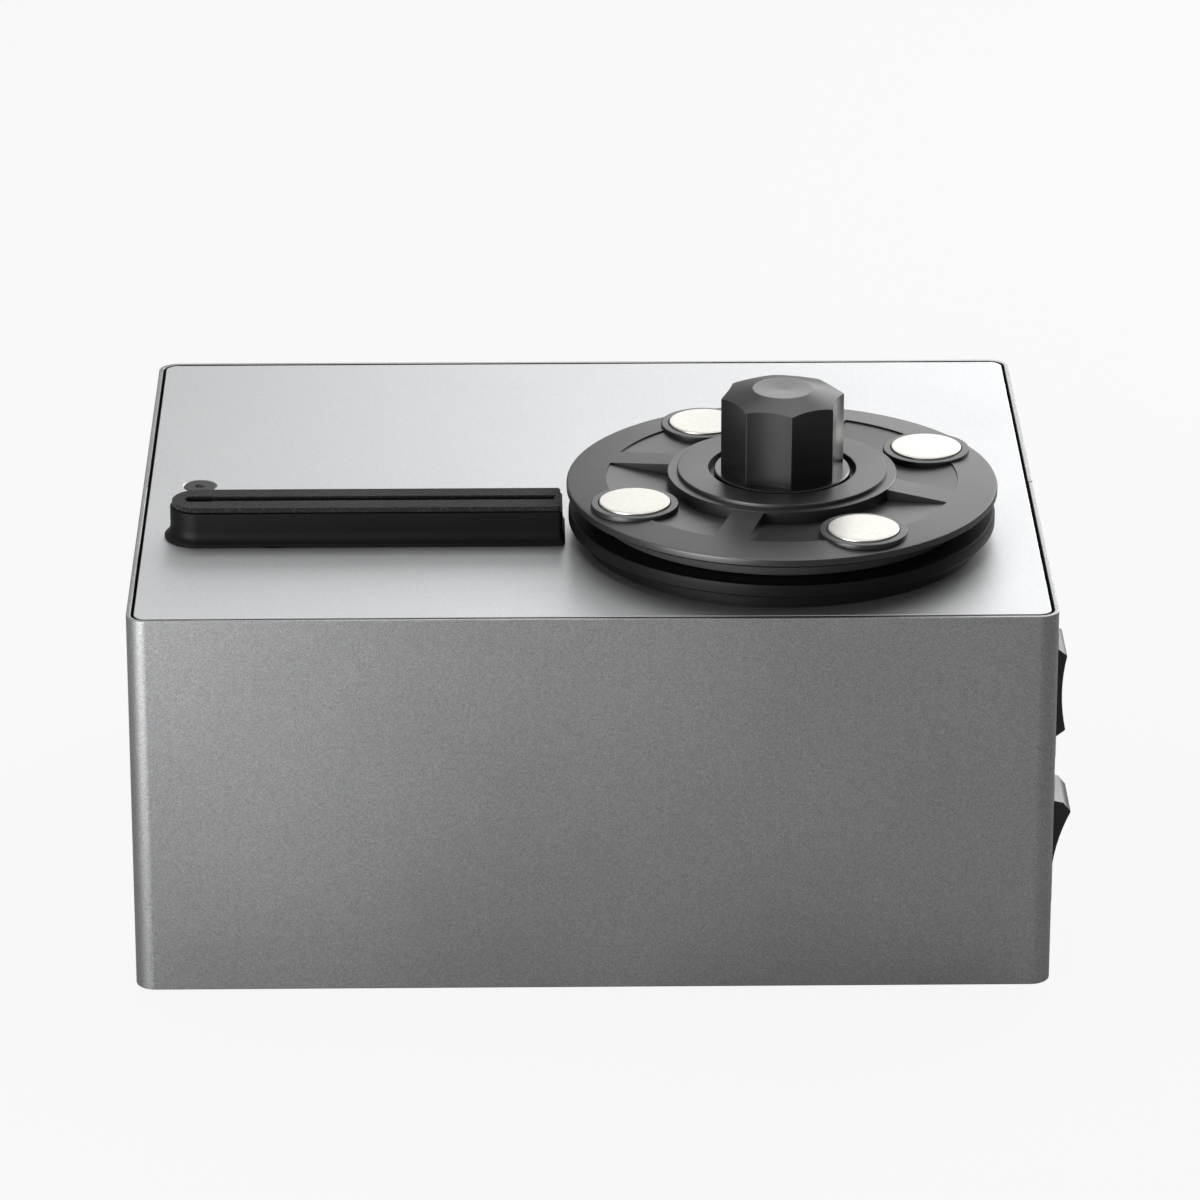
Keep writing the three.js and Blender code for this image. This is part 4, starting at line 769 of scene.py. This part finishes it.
def cut_deck_holes(piece, top):
    """Two countersunk screw holes, the bearing's hole and the port's hole."""
    screw_hole = (
        (HOLE_RADIUS, -DECK_THICKNESS - OVERRUN),
        (HOLE_RADIUS, HOLE_RADIUS - COUNTERSINK_RADIUS),
        (COUNTERSINK_RADIUS, 0),
        (COUNTERSINK_RADIUS, OVERRUN),
    )
    for node in ("top_screw_left", "top_screw_right"):
        centre = middle_mm(node)
        centre.z = top
        carve(piece, turned("screw_cut", screw_hole, centre, SMALL_LATHE_SIDES))
    port = Vector((middle_x("arm_port"), platter_axis.y, top))
    for centre, radius in ((platter_axis, BEARING_HOLE_RADIUS), (port, PORT_HOLE_RADIUS)):
        hole = ((radius, -DECK_THICKNESS - OVERRUN), (radius, OVERRUN))
        carve(piece, turned("deck_cut", hole, centre))


def top_plate():
    low, high = box_mm("top_plate")
    piece = block("deck_plate", low, high)
    pick_edges(piece, lambda a, b: abs(a.z - b.z) > DECK_THICKNESS / 2)
    bevel_picked(DECK_CORNER, CORNER_SEGMENTS)
    soften(piece, DECK_EDGE)
    cut_deck_holes(piece, high.z)
    # Faces that don't look up, the rim and the hole walls, get the black that paints the gap's shade.
    add_slots(piece, "deck_aluminium", "painted_gap_shade")
    for face in piece.data.polygons:
        face.material_index = int(face.normal.z < 1 - FACING)
    finish_piece(piece, "housing", "deck_aluminium", "top_plate")


def countersunk_screw(node, slot, socket_slot, upward):
    profile = (
        (SCREW_RADIUS, -SCREW_LENGTH),
        (SCREW_RADIUS, SCREW_RADIUS - SCREW_HEAD_RADIUS),
        (SCREW_HEAD_RADIUS, -SCREW_EDGE),
        (SCREW_HEAD_RADIUS - SCREW_EDGE, 0),
    )
    piece = turned(node + "_hex", profile, Vector(), SMALL_LATHE_SIDES)
    add_slots(piece, slot, socket_slot)
    socket = ((SOCKET_RADIUS, -SOCKET_DEPTH), (SOCKET_RADIUS, OVERRUN))
    carve(piece, turned("hex_cut", socket, Vector(), SOCKET_SIDES))
    for face in piece.data.polygons:
        centre = face.center / MM
        inside = centre.xy.length < SOCKET_RADIUS + SOCKET_MARGIN
        in_depth = -SOCKET_DEPTH - SOCKET_MARGIN < centre.z < -SOCKET_MARGIN
        face.material_index = int(inside and in_depth)
    low, high = box_mm(node)
    place = (low + high) / 2
    place.z = high.z if upward else low.z
    turn_piece(piece, (0 if upward else math.pi, 0, math.radians(SOCKET_TURN)), place)
    finish_piece(piece, "housing", slot, node)


def rubber_foot(node):
    """A round foot with a shallow hollow in its sole."""
    low, high = box_mm(node)
    centre = (low + high) / 2
    centre.z = 0
    radius = (high.x - low.x) / 2
    middle_inset, middle_height = FOOT_ROUNDING_MIDDLE
    profile = (
        (radius - FOOT_HOLLOW_INSET, FOOT_HOLLOW_DEPTH),
        (radius - FOOT_SOLE_INSET, 0),
        (radius - FOOT_ROUNDING_WIDTH, 0),
        (radius - middle_inset, middle_height),
        (radius, FOOT_ROUNDING_HEIGHT),
        (radius, high.z - FOOT_TOP_EDGE),
        (radius - FOOT_TOP_EDGE, high.z),
    )
    piece = turned(node + "_pad", profile, centre, SMALL_LATHE_SIDES)
    finish_piece(piece, "housing", "black_rubber", node)


# Platter
def platter_collar():
    bottom = box_mm("platter_collar")[0].z - platter_axis.z
    profile = (
        (COLLAR_BORE_RADIUS, COLLAR_TOP),
        (COLLAR_BORE_RADIUS, bottom),
        (COLLAR_SPIGOT_RADIUS, bottom),
        (COLLAR_SPIGOT_RADIUS, FIT),
        (COLLAR_RADIUS, FIT),
        (COLLAR_RADIUS, COLLAR_TOP - COLLAR_BEVEL),
        (COLLAR_RADIUS - COLLAR_BEVEL, COLLAR_TOP),
        (COLLAR_BORE_RADIUS, COLLAR_TOP),
    )
    piece = turned("deck_collar", profile, platter_axis)
    finish_piece(piece, "housing", "black_plastic", "platter_collar")


def platter_disc():
    recess_top = PLATTER_BOTTOM + PLATTER_RECESS_DEPTH
    profile = (
        (PLATTER_BORE_RADIUS, recess_top),
        (PLATTER_RECESS_RADIUS, recess_top),
        (PLATTER_RECESS_RADIUS, PLATTER_BOTTOM),
        (PLATTER_RADIUS - PLATTER_LOWER_BEVEL, PLATTER_BOTTOM),
        (PLATTER_RADIUS, PLATTER_BOTTOM + PLATTER_LOWER_BEVEL),
        (PLATTER_RADIUS, PLATTER_TOP - PLATTER_EDGE),
        (PLATTER_RADIUS - PLATTER_EDGE_MIDDLE, PLATTER_TOP - PLATTER_EDGE_MIDDLE),
        (PLATTER_RADIUS - PLATTER_EDGE, PLATTER_TOP),
        (PLATTER_BORE_RADIUS, PLATTER_TOP),
        (PLATTER_BORE_RADIUS, recess_top),
    )
    piece = turned("platter_turned", profile, platter_axis)
    finish_piece(piece, "platter_drive", "black_plastic", "platter")


def rubber_seal(node, body, lip):
    """A flat ring with two fine grooves on its upper side, or on its lower side where lip is -1."""
    low, high = box_mm(node)
    bottom, top = low.z - platter_axis.z, high.z - platter_axis.z
    if lip < 0:
        bottom, top = top, bottom
    outer, inner = SEAL_RADIUS, SEAL_RADIUS - SEAL_WIDTH
    floor = top - SEAL_GROOVE_DEPTH * lip
    profile = [(inner, bottom), (outer, bottom), (outer, floor), (outer - SEAL_GROOVE_DEPTH, top)]
    for middle in (outer - SEAL_GROOVE_INSET, inner + SEAL_GROOVE_INSET):
        profile.append((middle + SEAL_GROOVE_WIDTH / 2, top))
        profile.append((middle + SEAL_GROOVE_WIDTH / 4, floor))
        profile.append((middle - SEAL_GROOVE_WIDTH / 4, floor))
        profile.append((middle - SEAL_GROOVE_WIDTH / 2, top))
    profile += [(inner + SEAL_GROOVE_DEPTH, top), (inner, floor), (inner, bottom)]
    piece = turned(node + "_ribbed", profile, platter_axis)
    finish_piece(piece, body, "black_rubber", node)


# Clamp
def around(radius, angle):
    turn = math.radians(angle)
    return Vector((radius * math.cos(turn), radius * math.sin(turn), 0))


def magnet_centre(index):
    return platter_axis + around(MAGNET_CIRCLE, MAGNET_ANGLE + 360 / MAGNETS * index)


def cone_height(radius):
    """The height of the clamp's slightly conical top at a radius."""
    outer = CLAMP_RADIUS - RIM_BEVEL
    return RIM_TOP + (CONE_TOP - RIM_TOP) * (outer - radius) / (outer - STEP_RADIUS)


def clamp_disc():
    pocket_end = POCKET_RADIUS + POCKET_STEP
    profile = (
        (NECK_HOLE_RADIUS, RECESS_TOP),
        (RECESS_RADIUS, RECESS_TOP),
        (RECESS_RADIUS, CLAMP_BOTTOM),
        (CLAMP_RADIUS - RIM_BEVEL, CLAMP_BOTTOM),
        (CLAMP_RADIUS, CLAMP_BOTTOM + RIM_BEVEL),
        *round_edge(CLAMP_RADIUS, RIM_TOP, RIM_BEVEL),
        (pocket_end, cone_height(pocket_end)),
        (STEP_RADIUS, CONE_TOP),
        (STEP_RADIUS, STEP_TOP - STEP_EDGE),
        (STEP_RADIUS - STEP_EDGE, STEP_TOP),
        (HUB_RADIUS, STEP_TOP),
        *round_edge(HUB_RADIUS, HUB_TOP, HUB_EDGE),
        *reversed(round_edge(HUB_HOLE_RADIUS, HUB_TOP, HUB_EDGE, side=-1)),
        (HUB_HOLE_RADIUS, WEB_TOP),
        (NECK_HOLE_RADIUS, WEB_TOP),
        (NECK_HOLE_RADIUS, RECESS_TOP),
    )
    return turned("clamp_disc", profile, platter_axis)


def spoke_bars():
    """Bars across the whole clamp, one for each pair of opposite spokes."""
    bars = []
    for index in range(SPOKES // 2):
        low = (-CLAMP_RADIUS - OVERRUN, -SPOKE_WIDTH / 2, CLAMP_BOTTOM - OVERRUN)
        high = (CLAMP_RADIUS + OVERRUN, SPOKE_WIDTH / 2, HUB_TOP + OVERRUN)
        turn = math.radians(SPOKE_ANGLE + 360 / SPOKES * index)
        bars.append(turn_piece(block("spoke_bar", low, high), (0, 0, turn), platter_axis))
    return bars


def pocket_cutter():
    """A ring that leaves the spokes standing between the pockets."""
    start = STEP_RADIUS - CUT_IN
    profile = (
        (start, POCKET_FLOOR),
        (POCKET_RADIUS, cone_height(POCKET_RADIUS) - POCKET_STEP),
        (POCKET_RADIUS, HUB_TOP + OVERRUN),
        (start, HUB_TOP + OVERRUN),
        (start, POCKET_FLOOR),
    )
    return carve(turned("pocket_cut", profile, platter_axis), *spoke_bars())


def clamp_plate():
    piece = clamp_disc()
    carve(piece, pocket_cutter())
    boss = ((BOSS_RADIUS, CLAMP_BOTTOM + RIM_BEVEL), *round_edge(BOSS_RADIUS, BOSS_TOP, HUB_EDGE))
    for index in range(MAGNETS):
        carve(piece, turned("boss", boss, magnet_centre(index)), operation="UNION")
    seat_radius = MAGNET_RADIUS + FIT
    seat = ((seat_radius, MAGNET_BOTTOM - FIT), (seat_radius, HUB_TOP + OVERRUN))
    for index in range(MAGNETS):
        carve(piece, turned("seat_cut", seat, magnet_centre(index)))
    finish_piece(piece, "clamp", "clamp_plastic", "clamp_plate")


def magnet_disc(node, index):
    middle_inset, middle_drop = MAGNET_EDGE_MIDDLE
    profile = (
        (MAGNET_RADIUS - MAGNET_LOWER_BEVEL, MAGNET_BOTTOM),
        (MAGNET_RADIUS, MAGNET_BOTTOM + MAGNET_LOWER_BEVEL),
        (MAGNET_RADIUS, MAGNET_TOP - MAGNET_EDGE_HEIGHT),
        (MAGNET_RADIUS - middle_inset, MAGNET_TOP - middle_drop),
        (MAGNET_RADIUS - MAGNET_EDGE_WIDTH, MAGNET_TOP),
    )
    piece = turned(node + "_disc", profile, magnet_centre(index))
    finish_piece(piece, "clamp", "nickel", node)


# Knob
def knob_blank():
    """The grip before it is fluted, with a rounded shoulder and a dished top."""
    slope = (KNOB_TOP - SHOULDER_HEIGHT) / (RIDGE_RADIUS - KNOB_TOP_RADIUS)
    inward = SHOULDER_INWARD_SHARE * SHOULDER_EDGE
    downward = SHOULDER_DOWNWARD_SHARE * SHOULDER_EDGE
    profile = (
        (RIDGE_RADIUS, GRIP_BOTTOM),
        (RIDGE_RADIUS, SHOULDER_HEIGHT - SHOULDER_EDGE),
        (RIDGE_RADIUS - inward, SHOULDER_HEIGHT - downward),
        (RIDGE_RADIUS - SHOULDER_EDGE, SHOULDER_HEIGHT + slope * SHOULDER_EDGE),
        (KNOB_TOP_RADIUS + CREASE, KNOB_TOP - slope * CREASE),
        (KNOB_TOP_RADIUS - CREASE, KNOB_TOP - CREASE * KNOB_DISH / KNOB_TOP_RADIUS),
        (DISH_FLAT_RADIUS, KNOB_TOP - KNOB_DISH),
    )
    return turned("knob_grip", profile, platter_axis)


def on_ridge(point):
    return RIDGE_RADIUS - (point - platter_axis).xy.length < RIDGE_MARGIN


def is_ridge_edge(a, b):
    return abs(a.z - b.z) > SHOULDER_HEIGHT / 4 and on_ridge(a) and on_ridge(b)


def clamp_knob():
    piece = knob_blank()
    flute = ((FLUTE_RADIUS, GRIP_BOTTOM - OVERRUN), (FLUTE_RADIUS, KNOB_TOP + OVERRUN))
    for index in range(FLUTES):
        middle = FIRST_RIDGE_ANGLE + 360 / FLUTES * (index + 0.5)
        centre = platter_axis + around(FLUTE_DISTANCE, middle)
        carve(piece, turned("flute_cut", flute, centre, 2 * LATHE_SIDES))
    weld(piece, RIDGE_WELD)
    pick_edges(piece, is_ridge_edge)
    bevel_picked(RIDGE_EDGE, EDGE_SEGMENTS)
    skirt = (
        (NECK_RADIUS, NECK_BOTTOM),
        (NECK_RADIUS, SKIRT_BOTTOM),
        (SKIRT_RADIUS, SKIRT_BOTTOM),
        (SKIRT_RADIUS, SKIRT_TOP - SKIRT_BEVEL),
        (SKIRT_RADIUS - SKIRT_BEVEL, SKIRT_TOP),
    )
    carve(piece, turned("knob_skirt", skirt, platter_axis), operation="UNION")
    bore = ((KNOB_BORE_RADIUS, NECK_BOTTOM - OVERRUN), (KNOB_BORE_RADIUS, KNOB_BORE_TOP))
    carve(piece, turned("bore_cut", bore, platter_axis, SMALL_LATHE_SIDES))
    finish_piece(piece, "knob", "knob_plastic", "clamp_knob")


# Suction arm
def arm_point(distance, height=0):
    return Vector((platter_axis.x - distance, platter_axis.y, platter_axis.z + height))


def round_corners(piece, past, corner):
    """Rounds the corners of a flat face that lie past an x."""
    open_for_edit(piece, "VERT")
    for vertex in piece.data.vertices:
        vertex.select = vertex.co.x / MM > past
    bpy.ops.object.mode_set(mode="EDIT")
    bevel_picked(corner, ARM_CORNER_SEGMENTS, "VERTICES")


def arm_outline(name, half_width, inner_end, outer_end, corner, bottom):
    """A flat face that looks up, with a round outer end and a squared inner end, level with bottom."""
    clear_selection()
    centre = arm_point(outer_end - half_width, bottom)
    place, radius = centre * MM, half_width * MM
    bpy.ops.mesh.primitive_circle_add(vertices=ARM_SIDES, radius=radius, fill_type="NGON", location=place)
    piece = bpy.context.object
    piece.name = piece.data.name = name
    keep_place(piece)
    bpy.ops.object.mode_set(mode="EDIT")
    bpy.ops.mesh.select_all(action="SELECT")
    bpy.ops.mesh.bisect(plane_co=place, plane_no=(1, 0, 0), clear_outer=True)
    pick_edges(piece, lambda a, b: min(a.x, b.x) > centre.x - NEAR)
    reach = outer_end - half_width - inner_end
    bpy.ops.mesh.extrude_region_move(TRANSFORM_OT_translate={"value": (reach * MM, 0, 0)})
    bpy.ops.mesh.select_mode(type="FACE")
    bpy.ops.mesh.select_all(action="SELECT")
    bpy.ops.mesh.dissolve_faces()
    bpy.ops.object.mode_set(mode="OBJECT")
    round_corners(piece, centre.x + reach - NEAR, corner)
    pick_all(piece)
    bpy.ops.mesh.normals_make_consistent(inside=False)
    bpy.ops.object.mode_set(mode="OBJECT")
    if piece.data.polygons[0].normal.z < 0:
        bpy.ops.object.mode_set(mode="EDIT")
        bpy.ops.mesh.flip_normals()
        bpy.ops.object.mode_set(mode="OBJECT")
    return piece


def round_slot(name, half_width, inner_end, bottom, top):
    """A cutter for the slot, round at its outer end and square at its inner end."""
    centre = arm_point(SLOT_OUTER - half_width)
    low = centre + Vector((0, -half_width, bottom))
    high = arm_point(inner_end, top) + Vector((0, half_width, 0))
    end = turned(name + "_end", ((half_width, bottom), (half_width, top)), centre, SMALL_LATHE_SIDES)
    return carve(block(name, low, high), end, operation="UNION")


def arm_bar():
    """The solid arm, whose walls sweep out in a cove to the wider foot."""
    piece = arm_outline(
        "arm_bar",
        ARM_HALF_WIDTH + ARM_FOOT_FLARE,
        ARM_INNER_END - ARM_FOOT_FLARE,
        ARM_OUTER_END + ARM_FOOT_FLARE,
        ARM_INNER_CORNER + ARM_FOOT_FLARE,
        FIT,
    )
    pick_all(piece)
    extrude_up(ARM_FOOT_RIM)
    reached_width, reached_height = 0, 0
    for step in range(1, ARM_FOOT_STEPS + 1):
        turn = math.pi / 2 * step / ARM_FOOT_STEPS
        width = ARM_FOOT_FLARE * math.sin(turn)
        height = (ARM_FOOT_HEIGHT - FIT - ARM_FOOT_RIM) * (1 - math.cos(turn))
        inward, upward = (width - reached_width) * MM, (height - reached_height) * MM
        bpy.ops.mesh.inset(thickness=inward, depth=upward, use_even_offset=True)
        reached_width, reached_height = width, height
    extrude_up(ARM_TOP - ARM_FOOT_HEIGHT)
    bpy.ops.object.mode_set(mode="OBJECT")
    return piece


def trim_foot(piece):
    """Cuts the foot off straight beside the platter."""
    inner = arm_point(ARM_FOOT_END)
    low = (inner.x, inner.y - 2 * ARM_HALF_WIDTH, inner.z - OVERRUN)
    high = (inner.x + 2 * OVERRUN, inner.y + 2 * ARM_HALF_WIDTH, inner.z + ARM_TOP + OVERRUN)
    carve(piece, block("foot_trim", low, high))


def stub_turned(name, profile):
    return turned(name, profile, arm_point(STUB_DISTANCE), SMALL_LATHE_SIDES)


def suction_arm():
    piece = arm_bar()
    trim_foot(piece)
    stub = ((STUB_RADIUS, -STUB_LENGTH), (STUB_RADIUS, ARM_FLOOR))
    carve(piece, stub_turned("arm_stub", stub), operation="UNION")
    for half_width, inner_end, bottom, top in (
        (CHANNEL_WIDTH / 2, SLOT_INNER, ARM_FLOOR, CHANNEL_TOP),
        (SLOT_WIDTH / 2, SLOT_INNER, SLOT_FLOOR, ARM_TOP + OVERRUN),
        (SLOT_RECESS_WIDTH / 2, SLOT_OUTER - SLOT_RECESS_LENGTH, SLOT_FLOOR, ARM_TOP + OVERRUN),
    ):
        carve(piece, round_slot("slot_cut", half_width, inner_end, bottom, top))
    bore = ((STUB_BORE, -STUB_LENGTH - OVERRUN), (STUB_BORE, ARM_FLOOR + OVERRUN))
    carve(piece, stub_turned("stub_cut", bore))
    seal_low, seal_high = box_mm("arm_seal")
    bottom, top = seal_low.z - FIT - platter_axis.z, seal_high.z + FIT - platter_axis.z
    inner, outer = STUB_RADIUS - STUB_GROOVE_DEPTH, STUB_RADIUS + STUB_GROOVE_MARGIN
    groove = ((inner, bottom), (outer, bottom), (outer, top), (inner, top), (inner, bottom))
    carve(piece, stub_turned("groove_cut", groove))
    soften(piece, ARM_EDGE, ARM_EDGE_ANGLE, clamp=False)
    finish_piece(piece, "arm", "black_plastic", "suction_arm")


def keep_half(piece, side, low, high):
    """Cuts away the strip's half on the other side of the slot."""
    middle = platter_axis.y
    far, near = middle - side * 2 * ARM_HALF_WIDTH, middle + side * VELVET_JOINT
    outer, inner = arm_point(ARM_OUTER_END + OVERRUN), arm_point(ARM_INNER_END - OVERRUN)
    low_corner = (outer.x, min(far, near), low - OVERRUN)
    high_corner = (inner.x, max(far, near), high + OVERRUN)
    carve(piece, block("half_cut", low_corner, high_corner))


def velvet_strip(node, side):
    low, high = box_mm(node)
    bottom = low.z - platter_axis.z
    piece = arm_outline(
        node + "_pile",
        ARM_HALF_WIDTH - VELVET_INSET,
        ARM_INNER_END + VELVET_INSET,
        ARM_OUTER_END - VELVET_INSET,
        ARM_INNER_CORNER,
        bottom,
    )
    pick_all(piece)
    extrude_up(VELVET_TOP - bottom)
    bpy.ops.object.mode_set(mode="OBJECT")
    recess_start = SLOT_OUTER - SLOT_RECESS_LENGTH
    cut_low, cut_high = bottom - OVERRUN, VELVET_TOP + OVERRUN
    carve(
        piece,
        round_slot("pile_cut", SLOT_WIDTH / 2 + FIT, SLOT_INNER, cut_low, cut_high),
        round_slot("pile_end_cut", SLOT_RECESS_WIDTH / 2 + FIT, recess_start, cut_low, cut_high),
    )
    keep_half(piece, side, low.z, high.z)

    def is_upper_edge(a, b):
        off_joint = max(abs(a.y - platter_axis.y), abs(b.y - platter_axis.y)) > VELVET_EDGE
        return min(a.z, b.z) > high.z - NEAR and off_joint

    pick_edges(piece, is_upper_edge)
    bevel_picked(VELVET_EDGE, VELVET_EDGE_SEGMENTS)
    finish_piece(piece, "arm", "black_velvet", node)


def arm_port():
    """The flanged bush that takes the arm's stub, with its neck in the deck."""
    low, high = box_mm("arm_port")
    bottom = low.z - high.z
    flange_top = -DECK_THICKNESS - FIT
    flange_bottom = flange_top - PORT_FLANGE_THICKNESS
    profile = (
        (PORT_BORE_RADIUS, bottom),
        (PORT_RADIUS, bottom),
        (PORT_RADIUS, flange_bottom),
        (PORT_FLANGE_RADIUS, flange_bottom),
        (PORT_FLANGE_RADIUS, flange_top),
        (PORT_NECK_RADIUS, flange_top),
        (PORT_NECK_RADIUS, 0),
        (PORT_BORE_RADIUS + FIT, 0),
        (PORT_BORE_RADIUS, -FIT),
        (PORT_BORE_RADIUS, bottom),
    )
    piece = stub_turned("arm_port_bush", profile)
    finish_piece(piece, "housing", "black_plastic", "arm_port")


# Switches, inlet and drain
def moulded_copy(node, name, body, slot, edge):
    piece = copy_of_node(node, name)
    soften(piece, edge, MOULDED_EDGE_ANGLE)
    finish_piece(piece, body, slot, node)


def at_drain_mouth(piece):
    low, high = box_mm("drain_fitting")
    return turn_piece(piece, FACE_REAR, ((low.x + high.x) / 2, high.y, (low.z + high.z) / 2))


def drain_fitting():
    low, high = box_mm("drain_fitting")
    inner = low.y - high.y
    profile = (
        (DRAIN_BORE_RADIUS, inner),
        (DRAIN_RADIUS, inner),
        (DRAIN_RADIUS, -DRAIN_EDGE),
        (DRAIN_RADIUS - DRAIN_EDGE, 0),
        (DRAIN_SEAT_RADIUS + DRAIN_EDGE, 0),
        (DRAIN_SEAT_RADIUS, -DRAIN_EDGE),
        (DRAIN_SEAT_RADIUS, -DRAIN_SEAT_DEPTH),
        (DRAIN_BORE_RADIUS, -DRAIN_SEAT_DEPTH),
        (DRAIN_BORE_RADIUS, inner),
    )
    piece = at_drain_mouth(turned("drain_bush", profile, Vector(), SMALL_LATHE_SIDES))
    finish_piece(piece, "housing", "black_plastic", "drain_fitting")


def drain_plug():
    """A plug with a slot that a coin turns."""
    low, high = box_mm("drain_plug")
    profile = (
        (PLUG_RADIUS, low.y - high.y),
        (PLUG_RADIUS, -PLUG_HEAD_DEPTH),
        (PLUG_HEAD_RADIUS, -PLUG_HEAD_DEPTH),
        (PLUG_HEAD_RADIUS, -PLUG_BEVEL),
        (PLUG_HEAD_RADIUS - PLUG_BEVEL, 0),
    )
    piece = turned("drain_screw", profile, Vector(), SMALL_LATHE_SIDES)
    slot_low = (-COIN_SLOT_LENGTH / 2, -COIN_SLOT_WIDTH / 2, -COIN_SLOT_DEPTH)
    slot_high = (COIN_SLOT_LENGTH / 2, COIN_SLOT_WIDTH / 2, OVERRUN)
    carve(piece, block("coin_cut", slot_low, slot_high))
    finish_piece(at_drain_mouth(piece), "drain", "black_plastic", "drain_plug")


# Floor, world and lamps
def glow_share(tree):
    """How much of the floor glows, for each kind of ray that may see it."""
    path = tree.nodes.new("ShaderNodeLightPath")
    share = None
    for label, part in FLOOR_GLOW:
        term = tree.nodes.new("ShaderNodeMath")
        term.operation = "MULTIPLY_ADD"
        term.inputs[1].default_value = part
        term.inputs[2].default_value = 0
        tree.links.new(path.outputs[label], term.inputs[0])
        if share:
            tree.links.new(share, term.inputs[2])
        share = term.outputs["Value"]
    return share


def paper_white():
    material = bpy.data.materials.new("studio_white")
    material.use_nodes = True
    tree = material.node_tree
    tree.nodes.clear()
    paper = tree.nodes.new("ShaderNodeBsdfDiffuse")
    paper.inputs["Color"].default_value = PAPER_COLOUR
    glow = tree.nodes.new("ShaderNodeEmission")
    glow.inputs["Color"].default_value = WHITE
    glow.inputs["Strength"].default_value = 1
    mix = tree.nodes.new("ShaderNodeMixShader")
    output = tree.nodes.new("ShaderNodeOutputMaterial")
    tree.links.new(glow_share(tree), mix.inputs["Fac"])
    tree.links.new(paper.outputs["BSDF"], mix.inputs[1])
    tree.links.new(glow.outputs["Emission"], mix.inputs[2])
    tree.links.new(mix.outputs["Shader"], output.inputs["Surface"])
    return material


def add_floor():
    clear_selection()
    bpy.ops.mesh.primitive_plane_add(size=FLOOR_SIZE * MM, location=(0, 0, -FLOOR_DROP * MM))
    floor = bpy.context.object
    floor.name = "studio_floor"
    floor.data.materials.append(paper_white())


def set_world():
    """A white room, brighter to the camera and in reflections than as light on the object."""
    world = bpy.data.worlds.new("studio")
    bpy.context.scene.world = world
    world.use_nodes = True
    tree = world.node_tree
    sky = tree.nodes["Background"]
    sky.inputs["Color"].default_value = WHITE
    path = tree.nodes.new("ShaderNodeLightPath")
    seen = path.outputs["Is Camera Ray"]
    for label in ("Is Glossy Ray", "Is Transmission Ray"):
        more = tree.nodes.new("ShaderNodeMath")
        more.operation = "MAXIMUM"
        tree.links.new(seen, more.inputs[0])
        tree.links.new(path.outputs[label], more.inputs[1])
        seen = more.outputs["Value"]
    strength = tree.nodes.new("ShaderNodeMapRange")
    strength.inputs["To Min"].default_value = ROOM_LIGHT
    strength.inputs["To Max"].default_value = ROOM_SEEN
    tree.links.new(seen, strength.inputs["Value"])
    tree.links.new(strength.outputs["Result"], sky.inputs["Strength"])


def add_softbox(name, place, width, depth, watts):
    place = Vector(place) * MM
    bpy.ops.object.light_add(type="AREA", location=place)
    lamp = bpy.context.object
    lamp.name = name
    lamp.data.shape = "RECTANGLE"
    lamp.data.size = width * MM
    lamp.data.size_y = depth * MM
    lamp.data.energy = watts
    aim = Vector(LAMP_AIM) * MM - place
    lamp.rotation_euler = aim.to_track_quat("-Z", "Y").to_euler()


# The scene, from the camera to the lamps
add_camera()
make_finishes()
# CAD parts under the gap round the deck get black steel as painted shade, and the rest get their own
# finishes.
for subpart in frame["record"]["subparts"]:
    shaded_in_gap = subpart["node"] in GAP_SHADE_PARTS
    for holder in frame["nodes"][subpart["node"]].material_slots:
        holder.material = finishes["black_steel" if shaded_in_gap else subpart["material_slot"]]

platter_axis = middle_mm("platter")
platter_axis.z = box_mm("top_plate")[1].z

front_shell()
rear_shell()
top_plate()
countersunk_screw("top_screw_left", "black_steel", "stainless_steel", upward=True)
countersunk_screw("top_screw_right", "stainless_steel", "stainless_steel", upward=True)
countersunk_screw("base_screw_left", "zinc_steel", "zinc_steel", upward=False)
countersunk_screw("base_screw_right", "zinc_steel", "zinc_steel", upward=False)
for corner in ("front_left", "rear_left", "front_right", "rear_right"):
    rubber_foot("foot_" + corner)
platter_collar()
platter_disc()
rubber_seal("platter_seal", "platter_drive", 1)
rubber_seal("clamp_seal", "clamp", -1)
clamp_plate()
for number in range(MAGNETS):
    magnet_disc(f"clamp_magnet_{number + 1}", number)
clamp_knob()
suction_arm()
arm_port()
velvet_strip("velvet_strip_front", -1)
velvet_strip("velvet_strip_rear", 1)
moulded_copy("direction_switch_body", "direction_bezel", "housing", "switch_plastic", BEZEL_EDGE)
moulded_copy("vacuum_switch_body", "vacuum_bezel", "housing", "switch_plastic", BEZEL_EDGE)
moulded_copy("direction_rocker", "direction_key", "direction_lever", "switch_plastic", ROCKER_EDGE)
moulded_copy("vacuum_rocker", "vacuum_key", "vacuum_lever", "switch_plastic", ROCKER_EDGE)
moulded_copy("power_inlet", "inlet_moulding", "housing", "black_plastic", INLET_EDGE)
moulded_copy("fuse_drawer", "fuse_tray", "fuse", "black_plastic", INLET_EDGE)
drain_fitting()
drain_plug()

add_floor()
set_world()
add_softbox("rear_softbox", (-100, 450, 1300), width=1200, depth=900, watts=7.5)
add_softbox("right_card", (560, 560, 420), width=440, depth=440, watts=2.6)
add_softbox("backdrop_card", (720, 1400, 760), width=1800, depth=1000, watts=11.5)
add_softbox("left_card", (-430, -560, 130), width=420, depth=240, watts=4.9)

bpy.context.scene.view_settings.view_transform = "Standard"
